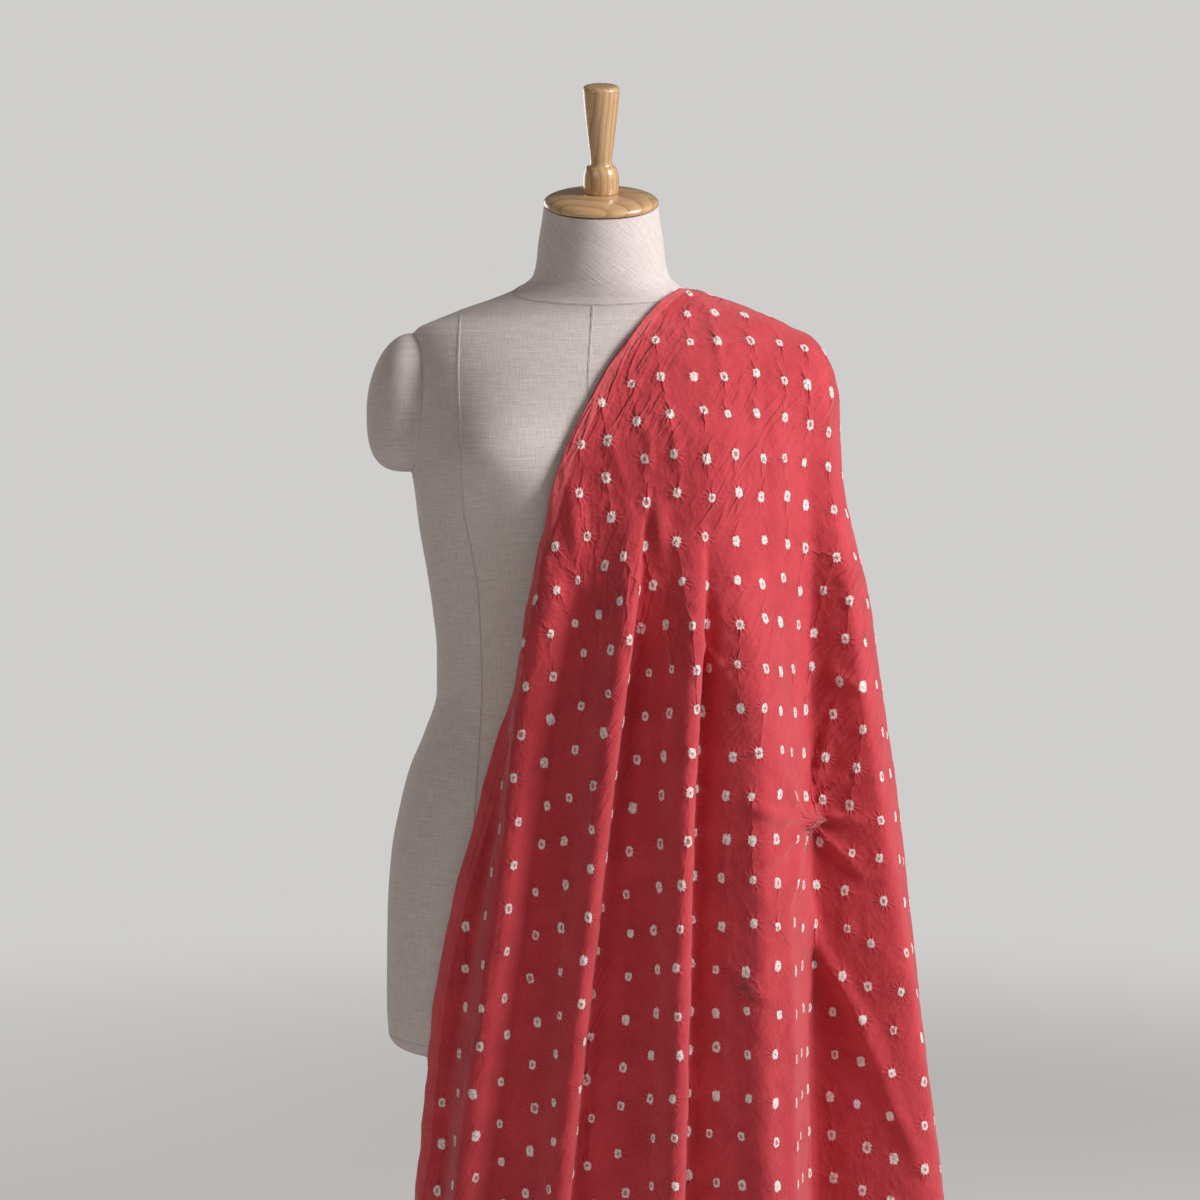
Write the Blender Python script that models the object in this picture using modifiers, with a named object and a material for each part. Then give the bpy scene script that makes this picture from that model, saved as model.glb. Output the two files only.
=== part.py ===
"""Tie-dyed cloth draped over one shoulder of a linen-covered dress form on its stand.

Metres, +Z up. The origin is on the floor under the pole, and the form faces -Y.
"""
import math

import bpy
import numpy as np
from mathutils import Matrix, Vector

COLLECTION = "draped_cloth_on_form"
FIT_GAP = 0.0003

# Torso: one row for each level, from the lower rim to the neck top.
# Columns: height, half_width, front_depth, back_depth, roundness, lean (rise for each metre back)
TORSO_LEVELS = (
    (0.4375, 0.1880, 0.108, 0.112, 2.20, 0.00),
    (0.4400, 0.1930, 0.113, 0.117, 2.20, 0.00),
    (0.4480, 0.1985, 0.117, 0.122, 2.20, 0.00),
    (0.4780, 0.2005, 0.120, 0.126, 2.20, 0.00),
    (0.5630, 0.1994, 0.121, 0.130, 2.20, 0.00),
    (0.6200, 0.1954, 0.118, 0.127, 2.20, 0.00),
    (0.6570, 0.1887, 0.113, 0.120, 2.20, 0.00),
    (0.6950, 0.1792, 0.107, 0.110, 2.20, 0.00),
    (0.7320, 0.1641, 0.099, 0.099, 2.20, 0.00),
    (0.7700, 0.1528, 0.093, 0.090, 2.20, 0.00),
    (0.8070, 0.1527, 0.091, 0.087, 2.20, 0.00),
    (0.8450, 0.1563, 0.093, 0.089, 2.20, 0.00),
    (0.8820, 0.1617, 0.098, 0.094, 2.20, 0.00),
    (0.9190, 0.1681, 0.104, 0.099, 2.25, 0.00),
    (0.9560, 0.1726, 0.109, 0.104, 2.30, 0.00),
    (0.9930, 0.1771, 0.111, 0.108, 2.40, 0.00),
    (1.0300, 0.1770, 0.106, 0.110, 2.50, 0.00),
    (1.0670, 0.1768, 0.092, 0.106, 2.40, 0.00),
    (1.0860, 0.1767, 0.079, 0.098, 2.20, 0.00),
    (1.0980, 0.1750, 0.070, 0.090, 2.00, 0.00),
    (1.1060, 0.1690, 0.063, 0.083, 1.85, 0.00),
    (1.1110, 0.1590, 0.060, 0.079, 1.75, 0.00),
    (1.1170, 0.1440, 0.057, 0.074, 1.70, 0.00),
    (1.1240, 0.1265, 0.056, 0.069, 1.70, 0.00),
    (1.1320, 0.1030, 0.056, 0.064, 1.75, 0.02),
    (1.1390, 0.0850, 0.057, 0.059, 1.85, 0.05),
    (1.1465, 0.0711, 0.058, 0.054, 1.95, 0.09),
    (1.1540, 0.0630, 0.059, 0.050, 2.00, 0.13),
    (1.1650, 0.0600, 0.060, 0.047, 2.00, 0.17),
    (1.1850, 0.0578, 0.060, 0.045, 2.00, 0.23),
    (1.2050, 0.0545, 0.060, 0.044, 2.00, 0.28),
    (1.2190, 0.0526, 0.060, 0.043, 2.00, 0.30),
)
TORSO_SIDES = 52
BUST_HEIGHT = 0.985
BUST_ACROSS = 0.086
BUST_SPREAD_ACROSS = 0.050
BUST_SPREAD_UP = 0.047
BUST_RISE = 0.026

ARM_CAP_INNER = 0.160
ARM_CAP_ROOT = 0.1765
ARM_CAP_BULGE = 0.0405
ARM_CAP_HEIGHT = 1.029
ARM_CAP_UPPER = 0.072
ARM_CAP_LOWER = 0.056
ARM_CAP_HALF_DEPTH = 0.054
ARM_CAP_UPPER_POWER = 1.9
ARM_CAP_LOWER_POWER = 3.0
ARM_CAP_SIDES = 28
ARM_CAP_RINGS = 7

NECK_TILT = math.radians(17)
NECK_TOP = (0.0, -0.0085, 1.2168)
# Turned profiles, top to bottom. Columns: radius, height above the neck top
NECK_CAP_PROFILE = (
    (0.0000, 0.0135), (0.0200, 0.0132), (0.0350, 0.0120), (0.0450, 0.0098), (0.0505, 0.0074),
    (0.0528, 0.0048), (0.0530, 0.0030), (0.0515, 0.0012), (0.0000, 0.0012),
)
FINIAL_PROFILE = (
    (0.0000, 0.1125), (0.0100, 0.1122), (0.0150, 0.1112), (0.0167, 0.1092), (0.0166, 0.1050),
    (0.0158, 0.0950), (0.0142, 0.0800), (0.0124, 0.0650), (0.0108, 0.0520), (0.0098, 0.0425),
    (0.0104, 0.0392), (0.0132, 0.0372), (0.0153, 0.0330), (0.0163, 0.0270), (0.0165, 0.0210),
    (0.0160, 0.0160), (0.0156, 0.0138), (0.0000, 0.0138),
)
POLE_RADIUS = 0.016
BASE_PROFILE = (
    (0.0000, 0.0620), (0.0270, 0.0620), (0.0300, 0.0590), (0.0305, 0.0400), (0.0360, 0.0310),
    (0.0700, 0.0270), (0.1500, 0.0240), (0.1850, 0.0205), (0.1930, 0.0150), (0.1950, 0.0080),
    (0.1930, 0.0020), (0.1900, 0.0000), (0.0000, 0.0000),
)
TURNED_STEPS = 32

CLOTH_THICKNESS = 0.0015
CLOTH_CLEARANCE = 0.0042
CLOTH_TOP = 1.1410
HEM_HEIGHT = 0.098
CLOTH_LEVELS = (
    1.1410, 1.1350, 1.1280, 1.1210, 1.1140, 1.1070, 1.1010, 1.0940, 1.0850, 1.0740, 1.0600, 1.0440,
    1.0270, 1.0100, 0.9930, 0.9740, 0.9500, 0.9220, 0.8900, 0.8520, 0.8080, 0.7500, 0.6850, 0.6150,
    0.5400, 0.4600, 0.3800, 0.3000, 0.2100,
)
# Free edges of the cloth, top to bottom. Columns: height, front_edge_x, back_edge_x
CLOTH_EDGES = (
    (1.1410, 0.0645, 0.0620),
    (1.1300, 0.0509, 0.0500),
    (1.1150, 0.0371, 0.0370),
    (1.0840, 0.0143, 0.0170),
    (1.0660, 0.0027, 0.0060),
    (1.0300, -0.0152, -0.0130),
    (0.9950, -0.0321, -0.0300),
    (0.9590, -0.0436, -0.0440),
    (0.9230, -0.0509, -0.0560),
    (0.8520, -0.0671, -0.0740),
    (0.8160, -0.0707, -0.0830),
    (0.7440, -0.0924, -0.0960),
    (0.6720, -0.1104, -0.1080),
    (0.5990, -0.1305, -0.1180),
    (0.5260, -0.1462, -0.1300),
    (0.4520, -0.1566, -0.1370),
    (0.3600, -0.1640, -0.1450),
    (0.3000, -0.1710, -0.1500),
    (0.0900, -0.1830, -0.1640),
)
# How far the free fall stands off what holds it. Columns: height, side, front, back
CLOTH_FLARE = (
    (1.0200, 0.000, 0.0000, 0.0000),
    (0.9560, 0.004, 0.0010, 0.0010),
    (0.8820, 0.014, 0.0020, 0.0030),
    (0.6570, 0.047, 0.0055, 0.0100),
    (0.4300, 0.074, 0.0090, 0.0170),
    (0.2970, 0.091, 0.0110, 0.0210),
    (0.0900, 0.113, 0.0150, 0.0270),
)

# Fold profiles. Columns: across from the crest (m), share of the fold's height
PIPE_FOLD = ((-0.0170, 0.00), (-0.0110, 0.30), (-0.0070, 0.82), (0.0000, 1.00),
             (0.0080, 0.90), (0.0118, 0.56), (0.0122, 0.10), (0.0165, 0.00))
SOFT_FOLD = ((-0.0130, 0.10), (-0.0050, 0.62), (0.0000, 1.00), (0.0130, 0.80),
             (0.0250, 0.36), (0.0380, 0.05))
WIDE_FOLD = ((-0.0125, 0.05), (-0.0065, 0.72), (0.0000, 1.00), (0.0110, 0.98),
             (0.0280, 0.70), (0.0420, 0.34), (0.0580, 0.04))
# Front folds, left to right. Columns: profile, height where it starts,
# crest_x at heights 0.95, 0.70, 0.40 and at the hem, height of the fold out of the cloth
FRONT_FOLDS = (
    (SOFT_FOLD, 0.958, (-0.0355, -0.0690, -0.1110, -0.1490), 0.017),
    (PIPE_FOLD, 0.975, (0.0290, 0.0030, -0.0290, -0.0560), 0.026),
    (PIPE_FOLD, 0.950, (0.0820, 0.0740, 0.0630, 0.0530), 0.027),
    (WIDE_FOLD, 0.925, (0.1150, 0.1250, 0.1330, 0.1430), 0.027),
)
FOLD_HEIGHTS = (0.95, 0.70, 0.40, HEM_HEIGHT)
FOLD_FADE = 0.15
# Side and back folds. Columns: share of the way from the side to the back edge,
# height where it starts, half width, height of the fold
BACK_FOLDS = (
    (0.10, 0.900, 0.034, 0.016),
    (0.29, 0.960, 0.028, 0.022),
    (0.47, 0.985, 0.024, 0.025),
    (0.65, 0.990, 0.026, 0.023),
    (0.84, 0.970, 0.024, 0.018),
)
# The rounded fall over the arm, between the last front fold and the side
SIDE_SWELL = 0.017
SIDE_SWELL_START = 0.99
SIDE_SWELL_LEAN = 1.25
HEM_WAVE = 0.006
HEM_WAVES = 3.5
HEM_BLEND = 0.15
FRONT_FILL = 2
EVEN_ABOVE = 1.10
FOLDED_BELOW = 0.99
LEAST_SPACING = 0.10
SIDE_COLUMNS = 7
SECTION_STEPS = 360
ANGLE_STEPS = 713
SIDEWAYS = 3


def smooth_table(heights, values, at):
    """Cubic Hermite curve through a table, with slopes that never overshoot it."""
    order = np.argsort(heights)
    x = np.asarray(heights, float)[order]
    y = np.asarray(values, float)[order]
    step = np.diff(x)
    rise = np.diff(y) / step
    slope = np.zeros_like(y)
    same_way = rise[:-1] * rise[1:] > 0
    safe = np.where(same_way, rise[:-1] + rise[1:], 1.0)
    slope[1:-1] = np.where(same_way, 2 * rise[:-1] * rise[1:] / safe, 0.0)
    slope[0], slope[-1] = rise[0], rise[-1]
    at = np.clip(at, x[0], x[-1])
    k = np.clip(np.searchsorted(x, at) - 1, 0, len(step) - 1)
    t = (at - x[k]) / step[k]
    return ((1 + 2 * t) * (1 - t) ** 2 * y[k] + t * (1 - t) ** 2 * step[k] * slope[k]
            + t * t * (3 - 2 * t) * y[k + 1] + t * t * (t - 1) * step[k] * slope[k + 1])


def torso_column(index, height):
    """One column of the torso table, read at an array of heights."""
    return smooth_table([row[0] for row in TORSO_LEVELS], [row[index] for row in TORSO_LEVELS], height)


def table_value(rows, index, height):
    """One column of a table whose first column is the height, read at one height."""
    return float(smooth_table([row[0] for row in rows], [row[index] for row in rows],
                              np.array([height]))[0])


def torso_radius(angle, height):
    """Radius of the torso at an angle from +X towards the front (-Y)."""
    across, out = np.cos(angle), np.sin(angle)
    depth = np.where(out > 0, torso_column(2, height), torso_column(3, height))
    power = torso_column(4, height)
    radius = (np.abs(across / torso_column(1, height)) ** power
              + np.abs(out / depth) ** power) ** (-1 / power)
    x = np.abs(radius * across)
    bust = BUST_RISE * np.exp(-((x - BUST_ACROSS) / BUST_SPREAD_ACROSS) ** 2
                              - ((height - BUST_HEIGHT) / BUST_SPREAD_UP) ** 2)
    return radius + bust * np.clip(out * 1.6, 0, 1)


def arm_cap_radius(angle, height):
    """Radius of the arm cap's outside, or 0 where a ray from the axis misses it."""
    above = height > ARM_CAP_HEIGHT
    power = np.where(above, ARM_CAP_UPPER_POWER, ARM_CAP_LOWER_POWER)
    rise = np.abs(height - ARM_CAP_HEIGHT) / np.where(above, ARM_CAP_UPPER, ARM_CAP_LOWER)
    share = (1 - np.clip(rise, 0, 1) ** power) ** (1 / power)
    long_half = np.maximum(ARM_CAP_BULGE * share, 1e-6)
    deep_half = np.maximum(ARM_CAP_HALF_DEPTH * share, 1e-6)
    across, out = np.cos(angle), np.sin(angle)
    a = (across / long_half) ** 2 + (out / deep_half) ** 2
    b = -2 * ARM_CAP_ROOT * across / long_half ** 2
    c = (ARM_CAP_ROOT / long_half) ** 2 - 1
    inside = b * b - 4 * a * c
    root = (-b + np.sqrt(np.maximum(inside, 0))) / (2 * a)
    return np.where((inside > 0) & (across > 0) & (share > 0.01), root, 0.0)


def hull_chain(points):
    """Outer convex chain of points that run from the front edge round +X to the back edge."""
    chain = []
    for point in points:
        while len(chain) > 1:
            first, last = chain[-2], chain[-1]
            turn = ((last[0] - first[0]) * (point[1] - first[1])
                    - (last[1] - first[1]) * (point[0] - first[0]))
            if turn > 0:
                break
            chain.pop()
        chain.append(point)
    return np.array(chain)


def resample(points, count):
    """Points spaced evenly along a polyline."""
    length = np.concatenate(([0], np.cumsum(np.hypot(*np.diff(points, axis=0).T))))
    at = np.linspace(0, length[-1], count)
    return np.column_stack([np.interp(at, length, points[:, k]) for k in (0, 1)])


def soften(points, passes):
    """Rounds the corners of a polyline and keeps its ends."""
    for _ in range(passes):
        points[1:-1] = (points[:-2] + 2 * points[1:-1] + points[2:]) / 4
    return points


def form_radius(angles, height):
    """Radius of the torso and arm cap together."""
    torso = torso_radius(angles, np.full_like(angles, max(height, TORSO_LEVELS[0][0])))
    return np.maximum(torso, arm_cap_radius(angles, np.full_like(angles, height)))


def cleared_radius(angles, height):
    """The form's radius grown by the clearance, measured square to its surface."""
    grown = np.zeros_like(angles)
    for tilt in np.radians(np.arange(-80, 81, 20)):
        level = height - CLOTH_CLEARANCE * math.sin(tilt)
        grown = np.maximum(grown, form_radius(angles, level) + CLOTH_CLEARANCE * math.cos(tilt))
    return np.max([np.roll(grown, turn) for turn in range(-SIDEWAYS, SIDEWAYS + 1)], axis=0)


def drape_sections(levels):
    """Unfolded section of the hanging cloth at each level, front edge to back edge."""
    angles = np.radians(np.linspace(178, -178, ANGLE_STEPS))
    held = np.zeros_like(angles)
    sections = {}
    scan = np.arange(CLOTH_TOP, HEM_HEIGHT, -0.003)
    for height in sorted(set(scan.tolist()) | set(levels), reverse=True):
        body = form_radius(angles, height)
        needed = cleared_radius(angles, height)
        front_x, back_x = (table_value(CLOTH_EDGES, column, height) for column in (1, 2))
        x = body * np.cos(angles)
        covered = np.where(np.sin(angles) > 0, x > front_x, x > back_x)
        held = np.where(covered, np.maximum(held, needed), needed)
        if height not in levels:
            continue
        radius = held + sum(
            np.clip(facing, 0, 1) ** power * table_value(CLOTH_FLARE, column, height)
            for column, facing, power in ((1, np.cos(angles), 2), (2, np.sin(angles), 1),
                                          (3, -np.sin(angles), 1))
        )
        loop = np.column_stack((radius * np.cos(angles), -radius * np.sin(angles)))
        chain = soften(resample(hull_chain(loop[covered]), SECTION_STEPS), 60)
        chain = push_clear(chain, angles, held)
        sections[height] = trim_section(chain, front_x, back_x)
    return [sections[height] for height in levels]


def push_clear(points, angles, radius):
    """Moves points out to at least a radius given by angle."""
    turn = np.arctan2(-points[:, 1], points[:, 0])
    least = np.interp(-turn, -angles, radius)
    now = np.hypot(points[:, 0], points[:, 1])
    return points * np.maximum(1.0, least / now)[:, None]


def trim_section(points, front_x, back_x):
    """Cuts a section at the two free edges."""
    middle = int(np.argmax(points[:, 0]))
    front = np.interp(front_x, points[:middle, 0], np.arange(middle))
    back = np.interp(-back_x, -points[middle:, 0], np.arange(middle, len(points)))
    at = np.linspace(front, back, len(points))
    steps = np.arange(len(points))
    return np.column_stack([np.interp(at, steps, points[:, k]) for k in (0, 1)])


def fold_strength(start, height):
    """0 above a fold's start, growing smoothly to 1 below it."""
    t = min(max((start - height) / FOLD_FADE, 0.0), 1.0)
    return t * t * (3 - 2 * t)


def fold_stations(section, height):
    """Columns across one level: (length along the section, height of the fold there)."""
    length = np.concatenate(([0], np.cumsum(np.hypot(*np.diff(section, axis=0).T))))
    middle = int(np.argmax(section[:, 0]))
    side = length[middle]
    right = section[middle, 0]
    front_x = section[0, 0]
    narrow = min(1.0, (right - front_x) / 0.30)
    stations = [(0.0, 0.0)]
    reach = 0.0
    for profile, start, track, size in FRONT_FOLDS:
        crest = float(smooth_table(FOLD_HEIGHTS, track, np.array([height]))[0])
        if height > FOLD_HEIGHTS[0]:
            top_share = (track[0] + 0.047) / 0.273
            crest = front_x + top_share * (right - front_x)
        strength = size * fold_strength(start, height)
        marks = []
        for across, share in profile:
            x = crest + across * narrow
            marks.append((float(np.interp(x, section[:middle, 0], length[:middle])), share * strength))
        for k in range(1, FRONT_FILL + 1):
            stations.append((reach + (marks[0][0] - reach) * k / (FRONT_FILL + 1), 0.0))
        stations.extend(marks)
        reach = marks[-1][0]
    swell = SIDE_SWELL * fold_strength(SIDE_SWELL_START, height)
    for k in range(1, SIDE_COLUMNS):
        share = k / SIDE_COLUMNS
        out = swell * math.sin(math.pi * share ** SIDE_SWELL_LEAN)
        stations.append((reach + (side - reach) * share, out))
    stations.append((side, 0.0))
    return even_out(stations + back_stations(side, length[-1], height), height)


def even_out(stations, height):
    """Spaces the columns evenly above the folds, and keeps them in order everywhere."""
    along, out = (np.array(column) for column in zip(*stations))
    even = np.linspace(0, along[-1], len(along))
    share = min(max((EVEN_ABOVE - height) / (EVEN_ABOVE - FOLDED_BELOW), 0.0), 1.0)
    least = LEAST_SPACING * along[-1] / len(along)
    for k in range(1, len(along) - 1):
        along[k] = max(along[k], along[k - 1] + least)
    along = np.minimum(along, along[-1] - least * np.arange(len(along))[::-1])
    return list(zip(even + (along - even) * share, out))


def back_stations(side, end, height):
    """Columns from the side round to the back edge."""
    stations = []
    for place, start, half_width, size in BACK_FOLDS:
        crest = side + (end - side) * place
        strength = size * fold_strength(start, height)
        half = min(half_width, (end - side) * 0.085)
        stations += [(crest - half, 0.0), (crest - half / 2, strength * 0.62), (crest, strength),
                     (crest + half / 2, strength * 0.62)]
    return stations + [(crest + half, 0.0), (end, 0.0)]


def drape_grid(levels):
    """Rows of 3-D points of the folded cloth."""
    rows = []
    for height, section in zip(levels, drape_sections(levels)):
        length = np.concatenate(([0], np.cumsum(np.hypot(*np.diff(section, axis=0).T))))
        tangent = np.gradient(section, axis=0)
        tangent /= np.linalg.norm(tangent, axis=1)[:, None]
        row = []
        for along, out in fold_stations(section, height):
            x, y = (np.interp(along, length, section[:, k]) for k in (0, 1))
            tx, ty = (np.interp(along, length, tangent[:, k]) for k in (0, 1))
            wave = HEM_WAVE * math.sin(2 * math.pi * HEM_WAVES * along / length[-1])
            drop = wave * max(0.0, 1 - (height - HEM_HEIGHT) / HEM_BLEND)
            row.append((x + ty * out, y - tx * out, height - drop))
        rows.append(row)
    return rows


def material(name, colour, roughness, metallic=0.0):
    """A plain Principled finish."""
    made = bpy.data.materials.new(name)
    made.use_nodes = True
    shader = made.node_tree.nodes["Principled BSDF"]
    shader.inputs["Base Color"].default_value = (*colour, 1)
    shader.inputs["Roughness"].default_value = roughness
    shader.inputs["Metallic"].default_value = metallic
    made.diffuse_color = (*colour, 1)
    return made


def add_object(name, mesh, finish, collection, smooth=math.radians(40)):
    """A named, smooth-shaded object in the collection."""
    mesh.materials.append(finish)
    mesh.shade_smooth()
    mesh.set_sharp_from_angle(angle=smooth)
    made = bpy.data.objects.new(name, mesh)
    collection.objects.link(made)
    return made


def loft(name, rings, closed_ends=True):
    """Mesh through rings of equal count, each ring a closed loop, lowest ring first."""
    sides = len(rings[0])
    points = [point for ring in rings for point in ring]
    faces = []
    for r in range(len(rings) - 1):
        for k in range(sides):
            a, b = r * sides + k, r * sides + (k + 1) % sides
            faces.append((a, b, b + sides))
            faces.append((a, b + sides, a + sides))
    if closed_ends:
        faces.append(tuple(reversed(range(sides))))
        faces.append(tuple(range((len(rings) - 1) * sides, len(rings) * sides)))
    mesh = bpy.data.meshes.new(name)
    mesh.from_pydata(points, [], faces)
    return mesh


def torso_mesh(name, grow=0.0):
    """The covered torso and neck, lofted through its table."""
    rings = []
    angles = np.radians(np.arange(TORSO_SIDES) * 360 / TORSO_SIDES)
    for row in TORSO_LEVELS:
        height = np.full_like(angles, row[0])
        radius = torso_radius(-angles, height) + grow
        x, y = radius * np.cos(angles), radius * np.sin(angles)
        rings.append([(px, py, row[0] + row[5] * py) for px, py in zip(x, y)])
    return loft(name, rings)


def arm_cap_point(share, across, up):
    """Point of the cap's rim at a share of its bulge. across and up are a cosine and a sine."""
    power, half = (ARM_CAP_UPPER_POWER, ARM_CAP_UPPER) if up > 0 else (ARM_CAP_LOWER_POWER, ARM_CAP_LOWER)
    rise = abs(up) * (1 - share ** power) ** (1 / power)
    depth = ARM_CAP_HALF_DEPTH * math.sqrt(max(0.0, (1 - rise ** power) ** (2 / power) - share ** 2))
    return math.copysign(depth, across), math.copysign(rise * half, up)


def arm_cap_mesh(name, side):
    """A padded cap, lofted out from inside the armhole. side is 1 or -1."""
    rings = []
    spans = [0.0] + [math.sin(math.radians(80 * k / ARM_CAP_RINGS)) for k in range(ARM_CAP_RINGS + 1)]
    for k, share in enumerate(spans):
        x = ARM_CAP_INNER if k == 0 else ARM_CAP_ROOT + ARM_CAP_BULGE * share
        ring = []
        for step in range(ARM_CAP_SIDES):
            turn = 2 * math.pi * step / ARM_CAP_SIDES
            y, z = arm_cap_point(share, math.cos(turn), math.sin(turn))
            ring.append((side * x, side * y, ARM_CAP_HEIGHT + z))
        rings.append(ring)
    return loft(name, rings)


def turned(name, profile, finish, collection):
    """A turned piece: its profile swept round Z by a Screw modifier."""
    mesh = bpy.data.meshes.new(name)
    points = [(radius, 0, height) for radius, height in profile]
    mesh.from_pydata(points, [(k, k + 1) for k in range(len(points) - 1)], [])
    made = add_object(name, mesh, finish, collection)
    screw = made.modifiers.new("turn", "SCREW")
    screw.steps = screw.render_steps = TURNED_STEPS
    screw.use_merge_vertices = True
    screw.merge_threshold = 0.00001
    return made


def build_torso(finish, collection):
    return add_object("form_torso", torso_mesh("form_torso"), finish, collection)


def build_arm_caps(finish, collection, cutters):
    """Each cap is cut back to the torso, with a small gap."""
    cutter = add_object("torso_cutter", torso_mesh("torso_cutter", FIT_GAP), finish, cutters)
    cutter.hide_render = True
    cutter.display_type = "WIRE"
    for name, side in (("arm_cap_left", 1), ("arm_cap_right", -1)):
        cap = add_object(name, arm_cap_mesh(name, side), finish, collection)
        cut = cap.modifiers.new("fit_to_torso", "BOOLEAN")
        cut.operation = "DIFFERENCE"
        cut.object = cutter


def build_neck(finish, collection):
    """The cap and finial lean forward with the neck's top."""
    place = Matrix.Translation(Vector(NECK_TOP)) @ Matrix.Rotation(NECK_TILT, 4, "X")
    for name, profile in (("neck_cap", NECK_CAP_PROFILE), ("finial", FINIAL_PROFILE)):
        turned(name, profile, finish, collection).matrix_world = place


def build_stand(metal, wood, collection):
    turned("stand_base", BASE_PROFILE, wood, collection)
    low = BASE_PROFILE[0][1] + FIT_GAP
    high = TORSO_LEVELS[0][0] - FIT_GAP
    profile = ((0, high), (POLE_RADIUS, high), (POLE_RADIUS, low), (0, low))
    turned("stand_pole", profile, metal, collection)


def build_cloth(finish, collection):
    """One draped sheet, thickened towards the form."""
    rows = drape_grid(list(CLOTH_LEVELS) + [HEM_HEIGHT])
    width = len(rows[0])
    faces = []
    for r in range(len(rows) - 1):
        for k in range(width - 1):
            a = r * width + k
            faces.append((a, a + width, a + width + 1, a + 1))
    mesh = bpy.data.meshes.new("bandhani_cloth")
    mesh.from_pydata([point for row in rows for point in row], [], faces)
    cloth = add_object("bandhani_cloth", mesh, finish, collection)
    thick = cloth.modifiers.new("thickness", "SOLIDIFY")
    thick.thickness = CLOTH_THICKNESS
    thick.offset = -1
    thick.use_even_offset = False
    return cloth


def main():
    for old in list(bpy.data.objects):
        bpy.data.objects.remove(old)
    collection = bpy.data.collections.new(COLLECTION)
    cutters = bpy.data.collections.new("cutters")
    for made in (collection, cutters):
        bpy.context.scene.collection.children.link(made)
    linen = material("linen", (0.53, 0.49, 0.44), 0.85)
    wood = material("light_wood", (0.62, 0.44, 0.26), 0.35)
    steel = material("pole_steel", (0.35, 0.35, 0.36), 0.3, 1.0)
    red = material("dyed_cotton", (0.52, 0.045, 0.06), 0.75)
    build_torso(linen, collection)
    build_arm_caps(linen, collection, cutters)
    build_neck(wood, collection)
    build_stand(steel, wood, collection)
    build_cloth(red, collection)


main()
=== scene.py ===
"""Tie-dyed cloth over one shoulder of a linen-covered dress form, dressed over its solid model.

Metres, +Z up, and the form faces -Y. The cloth is one sheet: its rows are level sections round the
form, its columns run down the folds, and its UV map is the flat cloth in metres, so that the tied
dots keep their size wherever the folds turn.
"""
import math

import bpy
import numpy as np
from bpy.props import FloatProperty, FloatVectorProperty, IntProperty, PointerProperty
from mathutils import Matrix, Vector, noise


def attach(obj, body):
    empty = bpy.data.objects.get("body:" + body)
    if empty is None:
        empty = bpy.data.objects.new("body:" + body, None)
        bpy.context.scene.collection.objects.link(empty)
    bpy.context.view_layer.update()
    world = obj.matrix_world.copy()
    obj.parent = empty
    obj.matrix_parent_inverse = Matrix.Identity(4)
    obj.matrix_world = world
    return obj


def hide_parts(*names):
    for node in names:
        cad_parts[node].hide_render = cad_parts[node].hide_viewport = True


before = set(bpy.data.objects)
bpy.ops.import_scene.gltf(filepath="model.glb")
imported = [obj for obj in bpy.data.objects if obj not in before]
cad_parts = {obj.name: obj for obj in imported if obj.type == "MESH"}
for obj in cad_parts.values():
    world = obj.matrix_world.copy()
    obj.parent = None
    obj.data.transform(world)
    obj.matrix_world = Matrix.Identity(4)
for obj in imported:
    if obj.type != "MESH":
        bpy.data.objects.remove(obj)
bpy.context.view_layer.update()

bl_info = {
    "name": "Tied Cloth on a Dress Form",
    "version": (1, 0, 0),
    "blender": (4, 5, 0),
    "location": "3D View > Sidebar > Tied Cloth",
    "description": "Builds a dotted tie-dyed cloth, the linen dress form under it and its turned wood",
    "category": "Object",
}

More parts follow.
